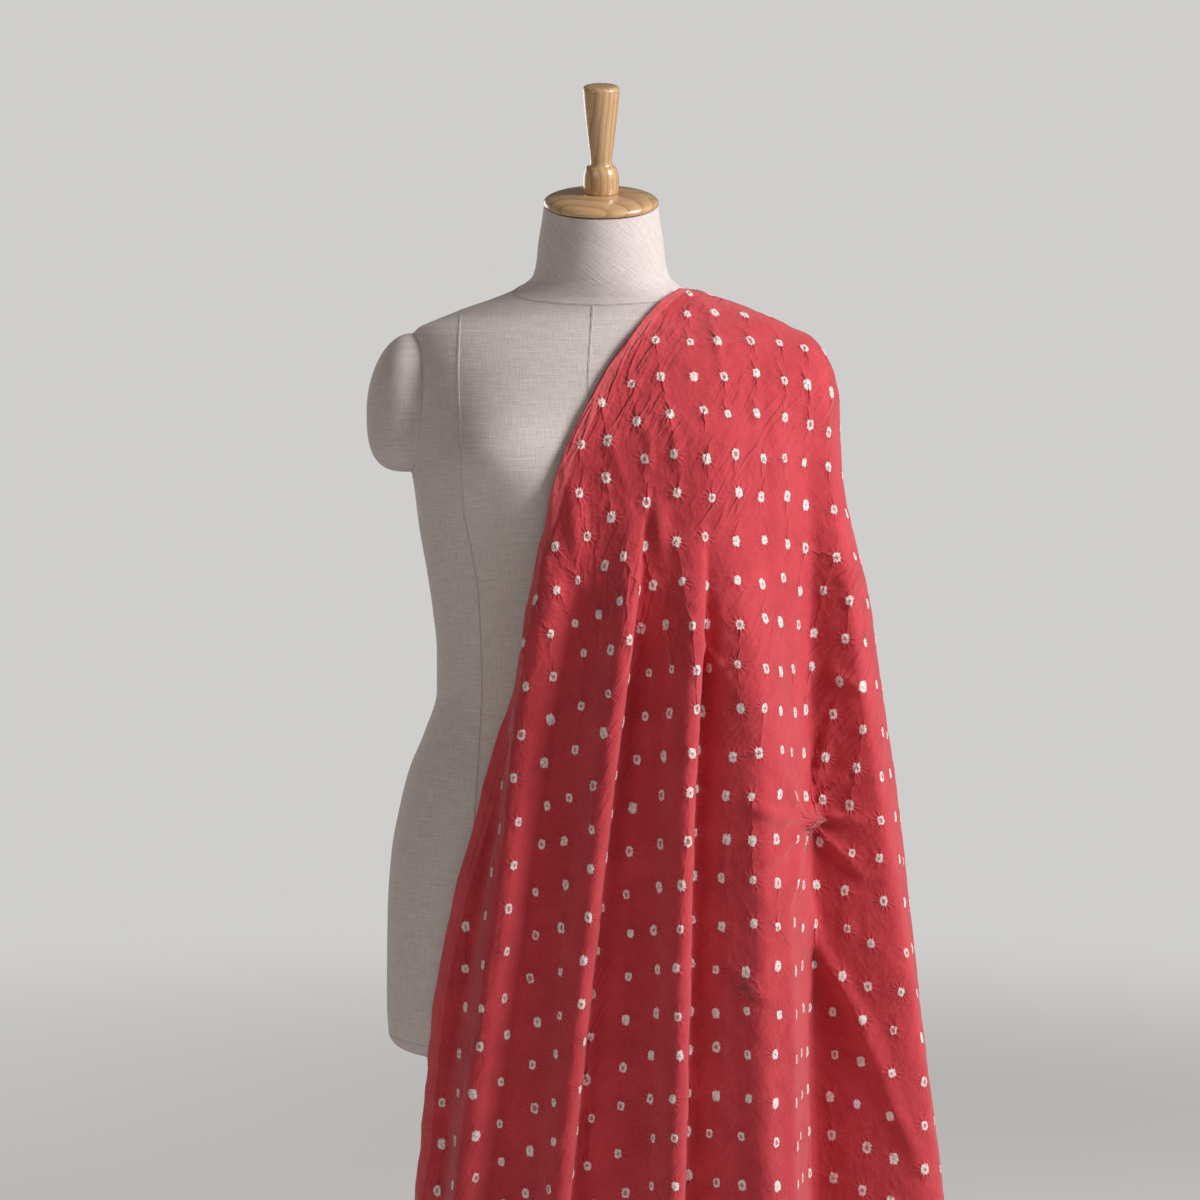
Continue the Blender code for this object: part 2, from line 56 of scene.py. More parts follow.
# Torso: one row for each level, from the lower rim to the neck top.
# Columns: height, half_width, front_depth, back_depth, roundness, lean (rise for each metre back)
TORSO_LEVELS = (
    (0.4375, 0.1880, 0.108, 0.112, 2.20, 0.00),
    (0.4400, 0.1930, 0.113, 0.117, 2.20, 0.00),
    (0.4480, 0.1985, 0.117, 0.122, 2.20, 0.00),
    (0.4780, 0.2005, 0.120, 0.126, 2.20, 0.00),
    (0.5630, 0.1994, 0.121, 0.130, 2.20, 0.00),
    (0.6200, 0.1954, 0.118, 0.127, 2.20, 0.00),
    (0.6570, 0.1887, 0.113, 0.120, 2.20, 0.00),
    (0.6950, 0.1792, 0.107, 0.110, 2.20, 0.00),
    (0.7320, 0.1641, 0.099, 0.099, 2.20, 0.00),
    (0.7700, 0.1528, 0.093, 0.090, 2.20, 0.00),
    (0.8070, 0.1527, 0.091, 0.087, 2.20, 0.00),
    (0.8450, 0.1563, 0.093, 0.089, 2.20, 0.00),
    (0.8820, 0.1617, 0.098, 0.094, 2.20, 0.00),
    (0.9190, 0.1681, 0.104, 0.099, 2.25, 0.00),
    (0.9560, 0.1726, 0.109, 0.104, 2.30, 0.00),
    (0.9930, 0.1771, 0.111, 0.108, 2.40, 0.00),
    (1.0300, 0.1770, 0.106, 0.110, 2.50, 0.00),
    (1.0670, 0.1768, 0.092, 0.106, 2.40, 0.00),
    (1.0860, 0.1767, 0.079, 0.098, 2.20, 0.00),
    (1.0980, 0.1750, 0.070, 0.090, 2.00, 0.00),
    (1.1060, 0.1690, 0.063, 0.083, 1.85, 0.00),
    (1.1110, 0.1590, 0.060, 0.079, 1.75, 0.00),
    (1.1170, 0.1440, 0.057, 0.074, 1.70, 0.00),
    (1.1240, 0.1265, 0.056, 0.069, 1.70, 0.00),
    (1.1320, 0.1030, 0.056, 0.064, 1.75, 0.02),
    (1.1390, 0.0850, 0.057, 0.059, 1.85, 0.05),
    (1.1465, 0.0711, 0.058, 0.054, 1.95, 0.09),
    (1.1540, 0.0630, 0.059, 0.050, 2.00, 0.13),
    (1.1650, 0.0600, 0.060, 0.047, 2.00, 0.17),
    (1.1850, 0.0578, 0.060, 0.045, 2.00, 0.23),
    (1.2050, 0.0545, 0.060, 0.044, 2.00, 0.28),
    (1.2190, 0.0526, 0.060, 0.043, 2.00, 0.30),
)
BUST_HEIGHT = 0.985
BUST_ACROSS = 0.086
BUST_SPREAD_ACROSS = 0.050
BUST_SPREAD_UP = 0.047
BUST_RISE = 0.026

ARM_CAP_INNER = 0.160
ARM_CAP_ROOT = 0.1765
ARM_CAP_BULGE = 0.0405
ARM_CAP_HEIGHT = 1.029
ARM_CAP_UPPER = 0.072
ARM_CAP_LOWER = 0.056
ARM_CAP_HALF_DEPTH = 0.054
ARM_CAP_UPPER_POWER = 1.9
ARM_CAP_LOWER_POWER = 3.0
CAP_SIDES = 72
CAP_RINGS = 30

NECK_TILT = math.radians(17)
NECK_TOP = (0.0, -0.0085, 1.2168)
# Turned profiles, top to bottom. Columns: radius, height above the neck top
NECK_CAP_PROFILE = (
    (0.0000, 0.0135), (0.0200, 0.0132), (0.0350, 0.0120), (0.0450, 0.0098), (0.0505, 0.0074),
    (0.0528, 0.0048), (0.0530, 0.0030), (0.0515, 0.0012), (0.0000, 0.0012),
)
FINIAL_PROFILE = (
    (0.0000, 0.1125), (0.0100, 0.1122), (0.0150, 0.1112), (0.0167, 0.1092), (0.0166, 0.1050),
    (0.0158, 0.0950), (0.0142, 0.0800), (0.0124, 0.0650), (0.0108, 0.0520), (0.0098, 0.0425),
    (0.0104, 0.0392), (0.0132, 0.0372), (0.0153, 0.0330), (0.0163, 0.0270), (0.0165, 0.0210),
    (0.0160, 0.0160), (0.0156, 0.0138), (0.0000, 0.0138),
)
BASE_PROFILE = (
    (0.0000, 0.0620), (0.0270, 0.0620), (0.0300, 0.0590), (0.0305, 0.0400), (0.0360, 0.0310),
    (0.0700, 0.0270), (0.1500, 0.0240), (0.1850, 0.0205), (0.1930, 0.0150), (0.1950, 0.0080),
    (0.1930, 0.0020), (0.1900, 0.0000), (0.0000, 0.0000),
)

CLOTH_CLEARANCE = 0.0042
CLOTH_TOP = 1.1410
HEM_HEIGHT = 0.098
# Free edges of the cloth, top to bottom. Columns: height, front_edge_x, back_edge_x
CLOTH_EDGES = (
    (1.1410, 0.0645, 0.0620),
    (1.1300, 0.0509, 0.0500),
    (1.1150, 0.0371, 0.0370),
    (1.0840, 0.0143, 0.0170),
    (1.0660, 0.0027, 0.0060),
    (1.0300, -0.0152, -0.0130),
    (0.9950, -0.0321, -0.0300),
    (0.9590, -0.0436, -0.0440),
    (0.9230, -0.0509, -0.0560),
    (0.8520, -0.0671, -0.0740),
    (0.8160, -0.0707, -0.0830),
    (0.7440, -0.0924, -0.0960),
    (0.6720, -0.1104, -0.1080),
    (0.5990, -0.1305, -0.1180),
    (0.5260, -0.1462, -0.1300),
    (0.4520, -0.1566, -0.1370),
    (0.3600, -0.1640, -0.1450),
    (0.3000, -0.1710, -0.1500),
    (0.0900, -0.1830, -0.1640),
)
# How far the free fall stands off what holds it. Columns: height, side, front, back
CLOTH_FLARE = (
    (1.0200, 0.000, 0.0000, 0.0000),
    (0.9560, 0.004, 0.0010, 0.0010),
    (0.8820, 0.014, 0.0020, 0.0030),
    (0.6570, 0.047, 0.0055, 0.0100),
    (0.4300, 0.074, 0.0090, 0.0170),
    (0.2970, 0.091, 0.0110, 0.0210),
    (0.0900, 0.113, 0.0150, 0.0270),
)

# Fold profiles. Columns: across from the crest (m), share of the fold's height
PIPE_FOLD = ((-0.0200, 0.34), (-0.0130, 0.66), (-0.0070, 0.90), (-0.0010, 1.00),
             (0.0050, 0.93), (0.0095, 0.76), (0.0122, 0.48), (0.0128, 0.06), (0.0175, 0.00))
SOFT_FOLD = ((-0.0160, 0.00), (-0.0080, 0.48), (-0.0010, 1.00), (0.0070, 0.95),
             (0.0180, 0.45), (0.0280, 0.03))
WIDE_FOLD = ((-0.0150, 0.58), (-0.0070, 0.86), (0.0000, 1.00), (0.0090, 0.90),
             (0.0370, 0.34), (0.0470, 0.14), (0.0580, 0.02))
# Front folds, left to right. Columns: profile, height where it starts,
# crest_x at heights 0.95, 0.70, 0.40 and at the hem, height of the fold out of the cloth
FRONT_FOLDS = (
    (SOFT_FOLD, 0.958, (-0.0370, -0.0770, -0.1180, -0.1540), 0.021),
    (PIPE_FOLD, 0.975, (0.0290, -0.0020, -0.0340, -0.0620), 0.027),
    (PIPE_FOLD, 0.950, (0.0820, 0.0690, 0.0620, 0.0510), 0.027),
    (WIDE_FOLD, 0.925, (0.1150, 0.1250, 0.1330, 0.1430), 0.027),
)
FOLD_HEIGHTS = (0.95, 0.70, 0.40, HEM_HEIGHT)
FOLD_FADE = 0.15
# Side and back folds. Columns: share of the way from the side to the back edge,
# height where it starts, half width, height of the fold
BACK_FOLDS = (
    (0.10, 0.900, 0.034, 0.016),
    (0.29, 0.960, 0.028, 0.022),
    (0.47, 0.985, 0.024, 0.025),
    (0.65, 0.990, 0.026, 0.023),
    (0.84, 0.970, 0.024, 0.018),
)
# The rounded fall over the arm, between the last front fold and the side
SIDE_SWELL = 0.017
SIDE_SWELL_START = 0.99
SIDE_SWELL_LEAN = 1.25
HEM_WAVE = 0.006
HEM_WAVES = 3.5
HEM_BLEND = 0.15
EVEN_ABOVE = 1.10
FOLDED_BELOW = 0.99
SECTION_STEPS = 360
ANGLE_STEPS = 713
SIDEWAYS = 3

CAMERA_PLACE = (-0.00093, -2.8, 1.03)
CAMERA_PITCH = 3.6
CAMERA_LENS = 90.5
# Lights. Columns: name, place, what it points at, size, which power, tint
LIGHTS = (
    ("key_softbox", (1.99, -0.87, 2.02), (0.05, 0.0, 0.78), (0.9, 1.1), "key", (1.0, 0.985, 0.99)),
    ("fill_softbox", (-1.9, -2.3, 1.9), (0.0, 0.0, 1.00), (1.4, 1.6), "fill", (1.0, 0.905, 0.835)),
    ("back_softbox", (-1.5, 2.1, 1.6), (0.0, 0.0, 0.80), (1.6, 1.2), "back", (1.0, 0.98, 0.96)),
)
FLOOR_FADE = (1.0, 3.2)
FLOOR_SIDES = 96
BACKGROUND_STRENGTH = 0.78

# The finer cover of the torso: sides, and the rise between its rings in the flat and on the shoulder
COVER_SIDES = 168
COVER_STEP = 0.0046
COVER_SHOULDER_STEP = 0.0013
NECK_SEAM_FRONT = 1.1250
NECK_SEAM_SLOPE = 0.32
# Seams of the cover. Columns: height, distance from the centre line
FRONT_PRINCESS_SEAM = (
    (1.1230, 0.1290), (1.0700, 0.1290), (1.0200, 0.1265), (0.9700, 0.1245), (0.9400, 0.1235),
    (0.9050, 0.1175), (0.8600, 0.1110), (0.7800, 0.1085), (0.7000, 0.1120), (0.6000, 0.1180),
    (0.4420, 0.1200),
)
BACK_PRINCESS_SEAM = (
    (1.1230, 0.1120), (1.0500, 0.1080), (0.9500, 0.0950), (0.8500, 0.0820), (0.7700, 0.0760),
    (0.6800, 0.0840), (0.5600, 0.0980), (0.4420, 0.1020),
)
CENTRE_SEAM = ((1.1250, -0.0075), (1.0500, -0.0115), (0.9000, -0.0120), (0.4420, -0.0120))

# Cloth rows: from this height down, the rise to the next row
CLOTH_ROW_STEPS = ((1.1410, 0.0015), (1.0900, 0.0033), (1.0000, 0.0043), (0.3000, 0.0110))
FOLD_COLUMNS = (13, 15, 15, 17)
FILL_COLUMNS = (9, 5, 6, 6)
SIDE_FINE_COLUMNS = 30
BACK_FINE_COLUMNS = 66
LEAST_FINE_SPACING = 0.28
FOLD_LEAN = 0.32
HEM_TURN = 0.0085
HEM_RISE = 0.0007
SHEET_THICKNESS = 0.0011
# Where one warp thread lies on the front. Columns: height, x before the folds push it about
WARP_LINE = ((1.119, 0.104), (1.099, 0.106), (1.040, 0.115), (0.973, 0.121), (0.900, 0.118),
             (0.850, 0.113), (0.720, 0.107), (0.450, 0.101), (0.100, 0.100))
FIRST_ROW = 1.119
# How a row of dots sinks to each side. Columns: where it starts across, over what width, slope
ROW_SINKS = ((0.072, -0.045, 0.50), (0.128, 0.045, 0.27))
BACK_SHARE = 0.28
TIE_NEAR = 0.60
TIE_REACH = 0.026
# Chance of a crease from a dot to the one below it, and to the one beside it
CREASE_CHANCE = (0.80, 0.10)
TIE_PEAK = 0.0009
TIE_PEAK_WIDTH = 0.0045
# The hollow round a tie: its share of the peak, where it lies and its width
TIE_HOLLOW = (0.35, 0.011, 0.005)
# No dot lies nearer than this to the free edges and to the hem
DOTS_FROM_EDGE = 0.0105
DOTS_FROM_HEM = 0.012
# A dot is left out where the mesh has no point this near to its place
DOT_TOLERANCE = 0.0085
# How square a dot is: 2 is an ellipse, and more is squarer
DOT_SQUARENESS = 3.2
STAR_REACH = 0.036
CREASE_WIDTH = 0.0017
# Slanting wrinkles in the cotton: their turn, and their size across and along
PULL_SLANT = math.radians(36)
PULL_SIZE = (0.013, 0.075)
COTTON_YARN = 0.0005
COTTON_SLUB = 0.008
LINEN_SLUB = 0.016
LINEN_SPECK = (0.16, 0.12, 0.09)
RIM_SEAM_HEIGHT = 0.4500
SEAM_STAND_OFF = 0.0001
BIAS = math.radians(41)

# The valley beside the last front fold, and the broad plane that climbs from it to the arm's side.
# Columns: height, valley x, depth, rise of its far crest, share of the way to the side where that lies
SIDE_VALLEY = (
    (1.030, 0.188, 0.000, 0.000, 0.62),
    (0.960, 0.190, 0.006, 0.004, 0.62),
    (0.860, 0.192, 0.013, 0.012, 0.62),
    (0.700, 0.193, 0.020, 0.020, 0.72),
    (0.600, 0.194, 0.024, 0.023, 0.80),
    (0.480, 0.194, 0.038, 0.038, 0.91),
    (0.330, 0.193, 0.042, 0.046, 0.94),
    (0.098, 0.193, 0.042, 0.046, 0.94),
)
VALLEY_LEFT = 0.024
# Places on the front where a thread was drawn tight and creases ray out: x, z
STARS = ((0.186, 0.660), (0.1300, 0.5250))

# Creases charted on the front of the cloth. Columns: height out (m), half width (m), points (x, z)
CREASES = (
    (0.0070, 0.0044, ((0.186, 0.660), (0.204, 0.687), (0.228, 0.704))),
    (0.0056, 0.0042, ((0.186, 0.660), (0.208, 0.663), (0.236, 0.659))),
    (0.0064, 0.0044, ((0.186, 0.660), (0.175, 0.633), (0.167, 0.599))),
    (0.0052, 0.0044, ((0.186, 0.660), (0.156, 0.671), (0.131, 0.683))),
    (0.0060, 0.0042, ((0.186, 0.660), (0.198, 0.705), (0.208, 0.746))),
    (0.0050, 0.0042, ((0.186, 0.660), (0.164, 0.645), (0.145, 0.631))),
    (0.0056, 0.0044, ((0.186, 0.660), (0.209, 0.639), (0.236, 0.611))),
    (0.0050, 0.0042, ((0.186, 0.660), (0.170, 0.683), (0.156, 0.717))),
    (0.0030, 0.0038, ((0.090, 0.825), (0.107, 0.802), (0.119, 0.788), (0.129, 0.770))),
    (0.0028, 0.0038, ((0.207, 0.796), (0.228, 0.783), (0.234, 0.775))),
    (0.0022, 0.0036, ((0.098, 1.116), (0.104, 1.095), (0.108, 1.068))),
    (0.0026, 0.0036, ((0.137, 1.038), (0.139, 1.011), (0.136, 0.978), (0.134, 0.953))),
    (0.0026, 0.0036, ((0.051, 1.028), (0.066, 1.007), (0.070, 0.976))),
    (0.0022, 0.0034, ((0.032, 1.034), (0.041, 1.008))),
    (0.0022, 0.0034, ((0.043, 1.007), (0.043, 0.978))),
    (0.0022, 0.0034, ((0.007, 1.022), (0.011, 0.993), (0.020, 0.966))),
    (0.0045, 0.0070, ((-0.026, 0.960), (-0.022, 0.915), (-0.019, 0.871))),
    (0.0050, 0.0070, ((0.050, 0.945), (0.054, 0.905))),
    (0.0020, 0.0060, ((0.156, 1.065), (0.158, 0.968), (0.157, 0.871))),
    (0.0035, 0.0045, ((0.165, 0.621), (0.167, 0.522), (0.169, 0.413), (0.171, 0.331), (0.172, 0.240))),
    (0.0060, 0.0070, ((0.179, 0.612), (0.197, 0.545), (0.230, 0.491), (0.258, 0.420), (0.291, 0.343))),
    (-0.0055, 0.0055, ((-0.080, 0.800), (-0.093, 0.700), (-0.118, 0.560), (-0.139, 0.420),
                       (-0.151, 0.300))),
    (0.0022, 0.0034, ((-0.088, 0.735), (-0.104, 0.650), (-0.128, 0.520), (-0.146, 0.400))),
    (0.0028, 0.0040, ((0.131, 0.521), (0.118, 0.535), (0.108, 0.548))),
    (0.0028, 0.0040, ((0.131, 0.521), (0.146, 0.512), (0.158, 0.506))),
    (0.0028, 0.0040, ((0.131, 0.521), (0.141, 0.540), (0.150, 0.556))),
)
CRUMPLE = 0.0011
CRUMPLE_SIZE = 0.030
EDGE_CRUMPLE = 1.6


def smooth_table(heights, values, at):
    """Cubic Hermite curve through a table, with slopes that never overshoot it."""
    order = np.argsort(heights)
    x = np.asarray(heights, float)[order]
    y = np.asarray(values, float)[order]
    step = np.diff(x)
    rise = np.diff(y) / step
    slope = np.zeros_like(y)
    same_way = rise[:-1] * rise[1:] > 0
    safe = np.where(same_way, rise[:-1] + rise[1:], 1.0)
    slope[1:-1] = np.where(same_way, 2 * rise[:-1] * rise[1:] / safe, 0.0)
    slope[0], slope[-1] = rise[0], rise[-1]
    at = np.clip(at, x[0], x[-1])
    k = np.clip(np.searchsorted(x, at) - 1, 0, len(step) - 1)
    t = (at - x[k]) / step[k]
    return ((1 + 2 * t) * (1 - t) ** 2 * y[k] + t * (1 - t) ** 2 * step[k] * slope[k]
            + t * t * (3 - 2 * t) * y[k + 1] + t * t * (t - 1) * step[k] * slope[k + 1])


def torso_column(index, height):
    """One column of the torso table, read at an array of heights."""
    return smooth_table([row[0] for row in TORSO_LEVELS], [row[index] for row in TORSO_LEVELS], height)


def table_value(rows, index, height):
    """One column of a table whose first column is the height, read at one height."""
    return float(smooth_table([row[0] for row in rows], [row[index] for row in rows],
                              np.array([height]))[0])


def torso_radius(angle, height):
    """Radius of the torso at an angle from +X towards the front (-Y)."""
    across, out = np.cos(angle), np.sin(angle)
    depth = np.where(out > 0, torso_column(2, height), torso_column(3, height))
    power = torso_column(4, height)
    radius = (np.abs(across / torso_column(1, height)) ** power
              + np.abs(out / depth) ** power) ** (-1 / power)
    x = np.abs(radius * across)
    bust = BUST_RISE * np.exp(-((x - BUST_ACROSS) / BUST_SPREAD_ACROSS) ** 2
                              - ((height - BUST_HEIGHT) / BUST_SPREAD_UP) ** 2)
    return radius + bust * np.clip(out * 1.6, 0, 1)


def arm_cap_radius(angle, height):
    """Radius of the arm cap's outside, or 0 where a ray from the axis misses it."""
    above = height > ARM_CAP_HEIGHT
    power = np.where(above, ARM_CAP_UPPER_POWER, ARM_CAP_LOWER_POWER)
    rise = np.abs(height - ARM_CAP_HEIGHT) / np.where(above, ARM_CAP_UPPER, ARM_CAP_LOWER)
    share = (1 - np.clip(rise, 0, 1) ** power) ** (1 / power)
    long_half = np.maximum(ARM_CAP_BULGE * share, 1e-6)
    deep_half = np.maximum(ARM_CAP_HALF_DEPTH * share, 1e-6)
    across, out = np.cos(angle), np.sin(angle)
    a = (across / long_half) ** 2 + (out / deep_half) ** 2
    b = -2 * ARM_CAP_ROOT * across / long_half ** 2
    c = (ARM_CAP_ROOT / long_half) ** 2 - 1
    inside = b * b - 4 * a * c
    root = (-b + np.sqrt(np.maximum(inside, 0))) / (2 * a)
    return np.where((inside > 0) & (across > 0) & (share > 0.01), root, 0.0)


def hull_chain(points):
    """Outer convex chain of points that run from the front edge round +X to the back edge."""
    chain = []
    for point in points:
        while len(chain) > 1:
            first, last = chain[-2], chain[-1]
            turn = ((last[0] - first[0]) * (point[1] - first[1])
                    - (last[1] - first[1]) * (point[0] - first[0]))
            if turn > 0:
                break
            chain.pop()
        chain.append(point)
    return np.array(chain)


def resample(points, count):
    """Points spaced evenly along a polyline."""
    length = np.concatenate(([0], np.cumsum(np.hypot(*np.diff(points, axis=0).T))))
    at = np.linspace(0, length[-1], count)
    return np.column_stack([np.interp(at, length, points[:, k]) for k in (0, 1)])


def soften(points, passes):
    """Rounds the corners of a polyline and keeps its ends."""
    for _ in range(passes):
        points[1:-1] = (points[:-2] + 2 * points[1:-1] + points[2:]) / 4
    return points


def form_radius(angles, height):
    """Radius of the torso and arm cap together."""
    torso = torso_radius(angles, np.full_like(angles, max(height, TORSO_LEVELS[0][0])))
    return np.maximum(torso, arm_cap_radius(angles, np.full_like(angles, height)))


def cleared_radius(angles, height):
    """The form's radius grown by the clearance, measured square to its surface."""
    grown = np.zeros_like(angles)
    for tilt in np.radians(np.arange(-80, 81, 20)):
        level = height - CLOTH_CLEARANCE * math.sin(tilt)
        grown = np.maximum(grown, form_radius(angles, level) + CLOTH_CLEARANCE * math.cos(tilt))
    return np.max([np.roll(grown, turn) for turn in range(-SIDEWAYS, SIDEWAYS + 1)], axis=0)


def drape_sections(levels):
    """Unfolded section of the hanging cloth at each level, front edge to back edge."""
    angles = np.radians(np.linspace(178, -178, ANGLE_STEPS))
    held = np.zeros_like(angles)
    sections = {}
    scan = np.arange(CLOTH_TOP, HEM_HEIGHT, -0.003)
    for height in sorted(set(scan.tolist()) | set(levels), reverse=True):
        body = form_radius(angles, height)
        needed = cleared_radius(angles, height)
        front_x, back_x = (table_value(CLOTH_EDGES, column, height) for column in (1, 2))
        x = body * np.cos(angles)
        covered = np.where(np.sin(angles) > 0, x > front_x, x > back_x)
        held = np.where(covered, np.maximum(held, needed), needed)
        if height not in levels:
            continue
        radius = held + sum(
            np.clip(facing, 0, 1) ** power * table_value(CLOTH_FLARE, column, height)
            for column, facing, power in ((1, np.cos(angles), 2), (2, np.sin(angles), 1),
                                          (3, -np.sin(angles), 1))
        )
        loop = np.column_stack((radius * np.cos(angles), -radius * np.sin(angles)))
        chain = soften(resample(hull_chain(loop[covered]), SECTION_STEPS), 60)
        chain = push_clear(chain, angles, held)
        sections[height] = trim_section(chain, front_x, back_x)
    return [sections[height] for height in levels]


def push_clear(points, angles, radius):
    """Moves points out to at least a radius given by angle."""
    turn = np.arctan2(-points[:, 1], points[:, 0])
    least = np.interp(-turn, -angles, radius)
    now = np.hypot(points[:, 0], points[:, 1])
    return points * np.maximum(1.0, least / now)[:, None]


def trim_section(points, front_x, back_x):
    """Cuts a section at the two free edges."""
    middle = int(np.argmax(points[:, 0]))
    front = np.interp(front_x, points[:middle, 0], np.arange(middle))
    back = np.interp(-back_x, -points[middle:, 0], np.arange(middle, len(points)))
    at = np.linspace(front, back, len(points))
    steps = np.arange(len(points))
    return np.column_stack([np.interp(at, steps, points[:, k]) for k in (0, 1)])


def fold_strength(start, height):
    """0 above a fold's start, growing smoothly to 1 below it."""
    t = min(max((start - height) / FOLD_FADE, 0.0), 1.0)
    return t * t * (3 - 2 * t)


def cloth_levels():
    """Heights of the cloth's rows, closest on the shoulder."""
    ends = [row[0] for row in CLOTH_ROW_STEPS[1:]] + [HEM_HEIGHT]
    levels = []
    for (top, step), low in zip(CLOTH_ROW_STEPS, ends):
        levels += list(np.linspace(top, low, max(2, round((top - low) / step)), endpoint=False))
    return [float(height) for height in levels] + [HEM_HEIGHT]


def front_columns(section, length, height):
    """Columns from the front edge to the side: (along, out, sideways), each in metres."""
    middle = int(np.argmax(section[:, 0]))
    side = length[middle]
    right, front_x = section[middle, 0], section[0, 0]
    narrow = min(1.0, (right - front_x) / 0.30)
    xs, lengths = section[:middle, 0], length[:middle]
    columns = [(0.0, HEM_RISE, 0.0)]
    reach = 0.0
    for k, (profile, start, track, size) in enumerate(FRONT_FOLDS):
        crest = table_value(list(zip(FOLD_HEIGHTS, track)), 1, height)
        if height > FOLD_HEIGHTS[0]:
            crest = front_x + (track[0] + 0.047) / 0.273 * (right - front_x)
        strength = size * fold_strength(start, height)
        across = np.linspace(profile[0][0], profile[-1][0], FOLD_COLUMNS[k])
        share = smooth_table([p[0] for p in profile], [p[1] for p in profile], across)
        along = np.interp(crest + across * narrow, xs, lengths)
        fills = FILL_COLUMNS[k]
        gap = along[0] - reach
        ramp = share[0] * strength if k else 0.0
        for step in range(1, fills + 1):
            at = reach + gap * step / (fills + 1)
            if k == 0:
                at = min(at, HEM_TURN * (0.2, 0.5, 0.8, 1.0, 1.12)[step - 1]) if step < 6 else at
            rise = HEM_RISE if k == 0 and at <= HEM_TURN * 1.01 else ramp * (step / (fills + 1)) ** 1.25
            columns.append((at, rise, rise * FOLD_LEAN * 0.5))
        columns += [(a, s * strength, s * strength * FOLD_LEAN) for a, s in zip(along, share)]
        reach = along[-1]
    swell = SIDE_SWELL * fold_strength(SIDE_SWELL_START, height)
    for k in range(1, SIDE_FINE_COLUMNS):
        share = k / SIDE_FINE_COLUMNS
        out = swell * math.sin(math.pi * share ** SIDE_SWELL_LEAN)
        columns.append((reach + (side - reach) * share, out, 0.0))
    return columns + [(side, 0.0, 0.0)], side


def back_columns(side, end, height):
    """Columns from the side round to the back edge, with rounded folds."""
    columns = []
    for k in range(1, BACK_FINE_COLUMNS + 1):
        along = side + (end - side) * k / BACK_FINE_COLUMNS
        out = 0.0
        for place, start, half_width, size in BACK_FOLDS:
            half = min(half_width, (end - side) * 0.085) * 1.15
            away = abs(along - side - (end - side) * place) / half
            if away < 1:
                out += size * fold_strength(start, height) * (1 - away * away) ** 2
        columns.append((along, out, 0.0))
    return columns


def in_order(columns, height):
    """Spaces the columns evenly above the folds, and keeps them in order everywhere."""
    along, out, sideways = (np.array(column) for column in zip(*columns))
    even = np.linspace(0, along[-1], len(along))
    share = min(max((EVEN_ABOVE - height) / (EVEN_ABOVE - FOLDED_BELOW), 0.0), 1.0)
    least = LEAST_FINE_SPACING * along[-1] / len(along)
    for k in range(1, len(along) - 1):
        along[k] = max(along[k], along[k - 1] + least)
    along = np.minimum(along, along[-1] - least * np.arange(len(along))[::-1])
    return even + (along - even) * share, out, sideways


def cloth_grid():
    """Rows and columns of points of the folded cloth, and where each would lie across, unfolded."""
    levels = cloth_levels()
    rows, unfolded = [], []
    for height, section in zip(levels, drape_sections(levels)):
        length = np.concatenate(([0], np.cumsum(np.hypot(*np.diff(section, axis=0).T))))
        tangent = np.gradient(section, axis=0)
        tangent /= np.linalg.norm(tangent, axis=1)[:, None]
        front, side = front_columns(section, length, height)
        along, out, sideways = in_order(front + back_columns(side, length[-1], height), height)
        point = np.column_stack([np.interp(along, length, section[:, k]) for k in (0, 1)])
        way = np.column_stack([np.interp(along, length, tangent[:, k]) for k in (0, 1)])
        normal = np.column_stack((way[:, 1], -way[:, 0]))
        flat = point + normal * out[:, None] + way * sideways[:, None]
        wave = HEM_WAVE * np.sin(2 * math.pi * HEM_WAVES * along / length[-1])
        drop = wave * max(0.0, 1 - (height - HEM_HEIGHT) / HEM_BLEND)
        rows.append(np.column_stack((flat, height - drop)))
        unfolded.append(point[:, 0])
    grid = np.array(rows)
    for _ in range(3):
        grid[1:-1] = (grid[:-2] + 2 * grid[1:-1] + grid[2:]) / 4
    return grid, np.array(unfolded)


def grid_normals(grid):
    """Outward unit normals of a grid whose rows go down and columns go from front to back."""
    down = np.gradient(grid, axis=0)
    along = np.gradient(grid, axis=1)
    normal = np.cross(along, down)
    normal *= -1
    size = np.linalg.norm(normal, axis=2, keepdims=True)
    return normal / np.maximum(size, 1e-12)


def crease_relief(grid):
    """How far the charted creases lift each point of the front."""
    x, z = grid[..., 0], grid[..., 2]
    front = grid[..., 1] < 0.02
    lift = np.zeros(x.shape)
    for height, half_width, points in CREASES:
        best = np.full(x.shape, np.inf)
        taper = np.zeros(x.shape)
        spans = np.hypot(*np.diff(np.array(points), axis=0).T)
        total, done = spans.sum(), 0.0
        for (x0, z0), (x1, z1), span in zip(points[:-1], points[1:], spans):
            t = np.clip(((x - x0) * (x1 - x0) + (z - z0) * (z1 - z0)) / span ** 2, 0, 1)
            away = np.hypot(x - x0 - t * (x1 - x0), z - z0 - t * (z1 - z0))
            near = away < best
            best = np.where(near, away, best)
            taper = np.where(near, (done + t * span) / total, taper)
            done += span
        strength = np.sin(math.pi * np.clip(0.12 + 0.80 * taper, 0, 1)) ** 0.7
        lift += np.where(front, height * strength * np.exp(-(best / half_width) ** 2), 0.0)
    return lift


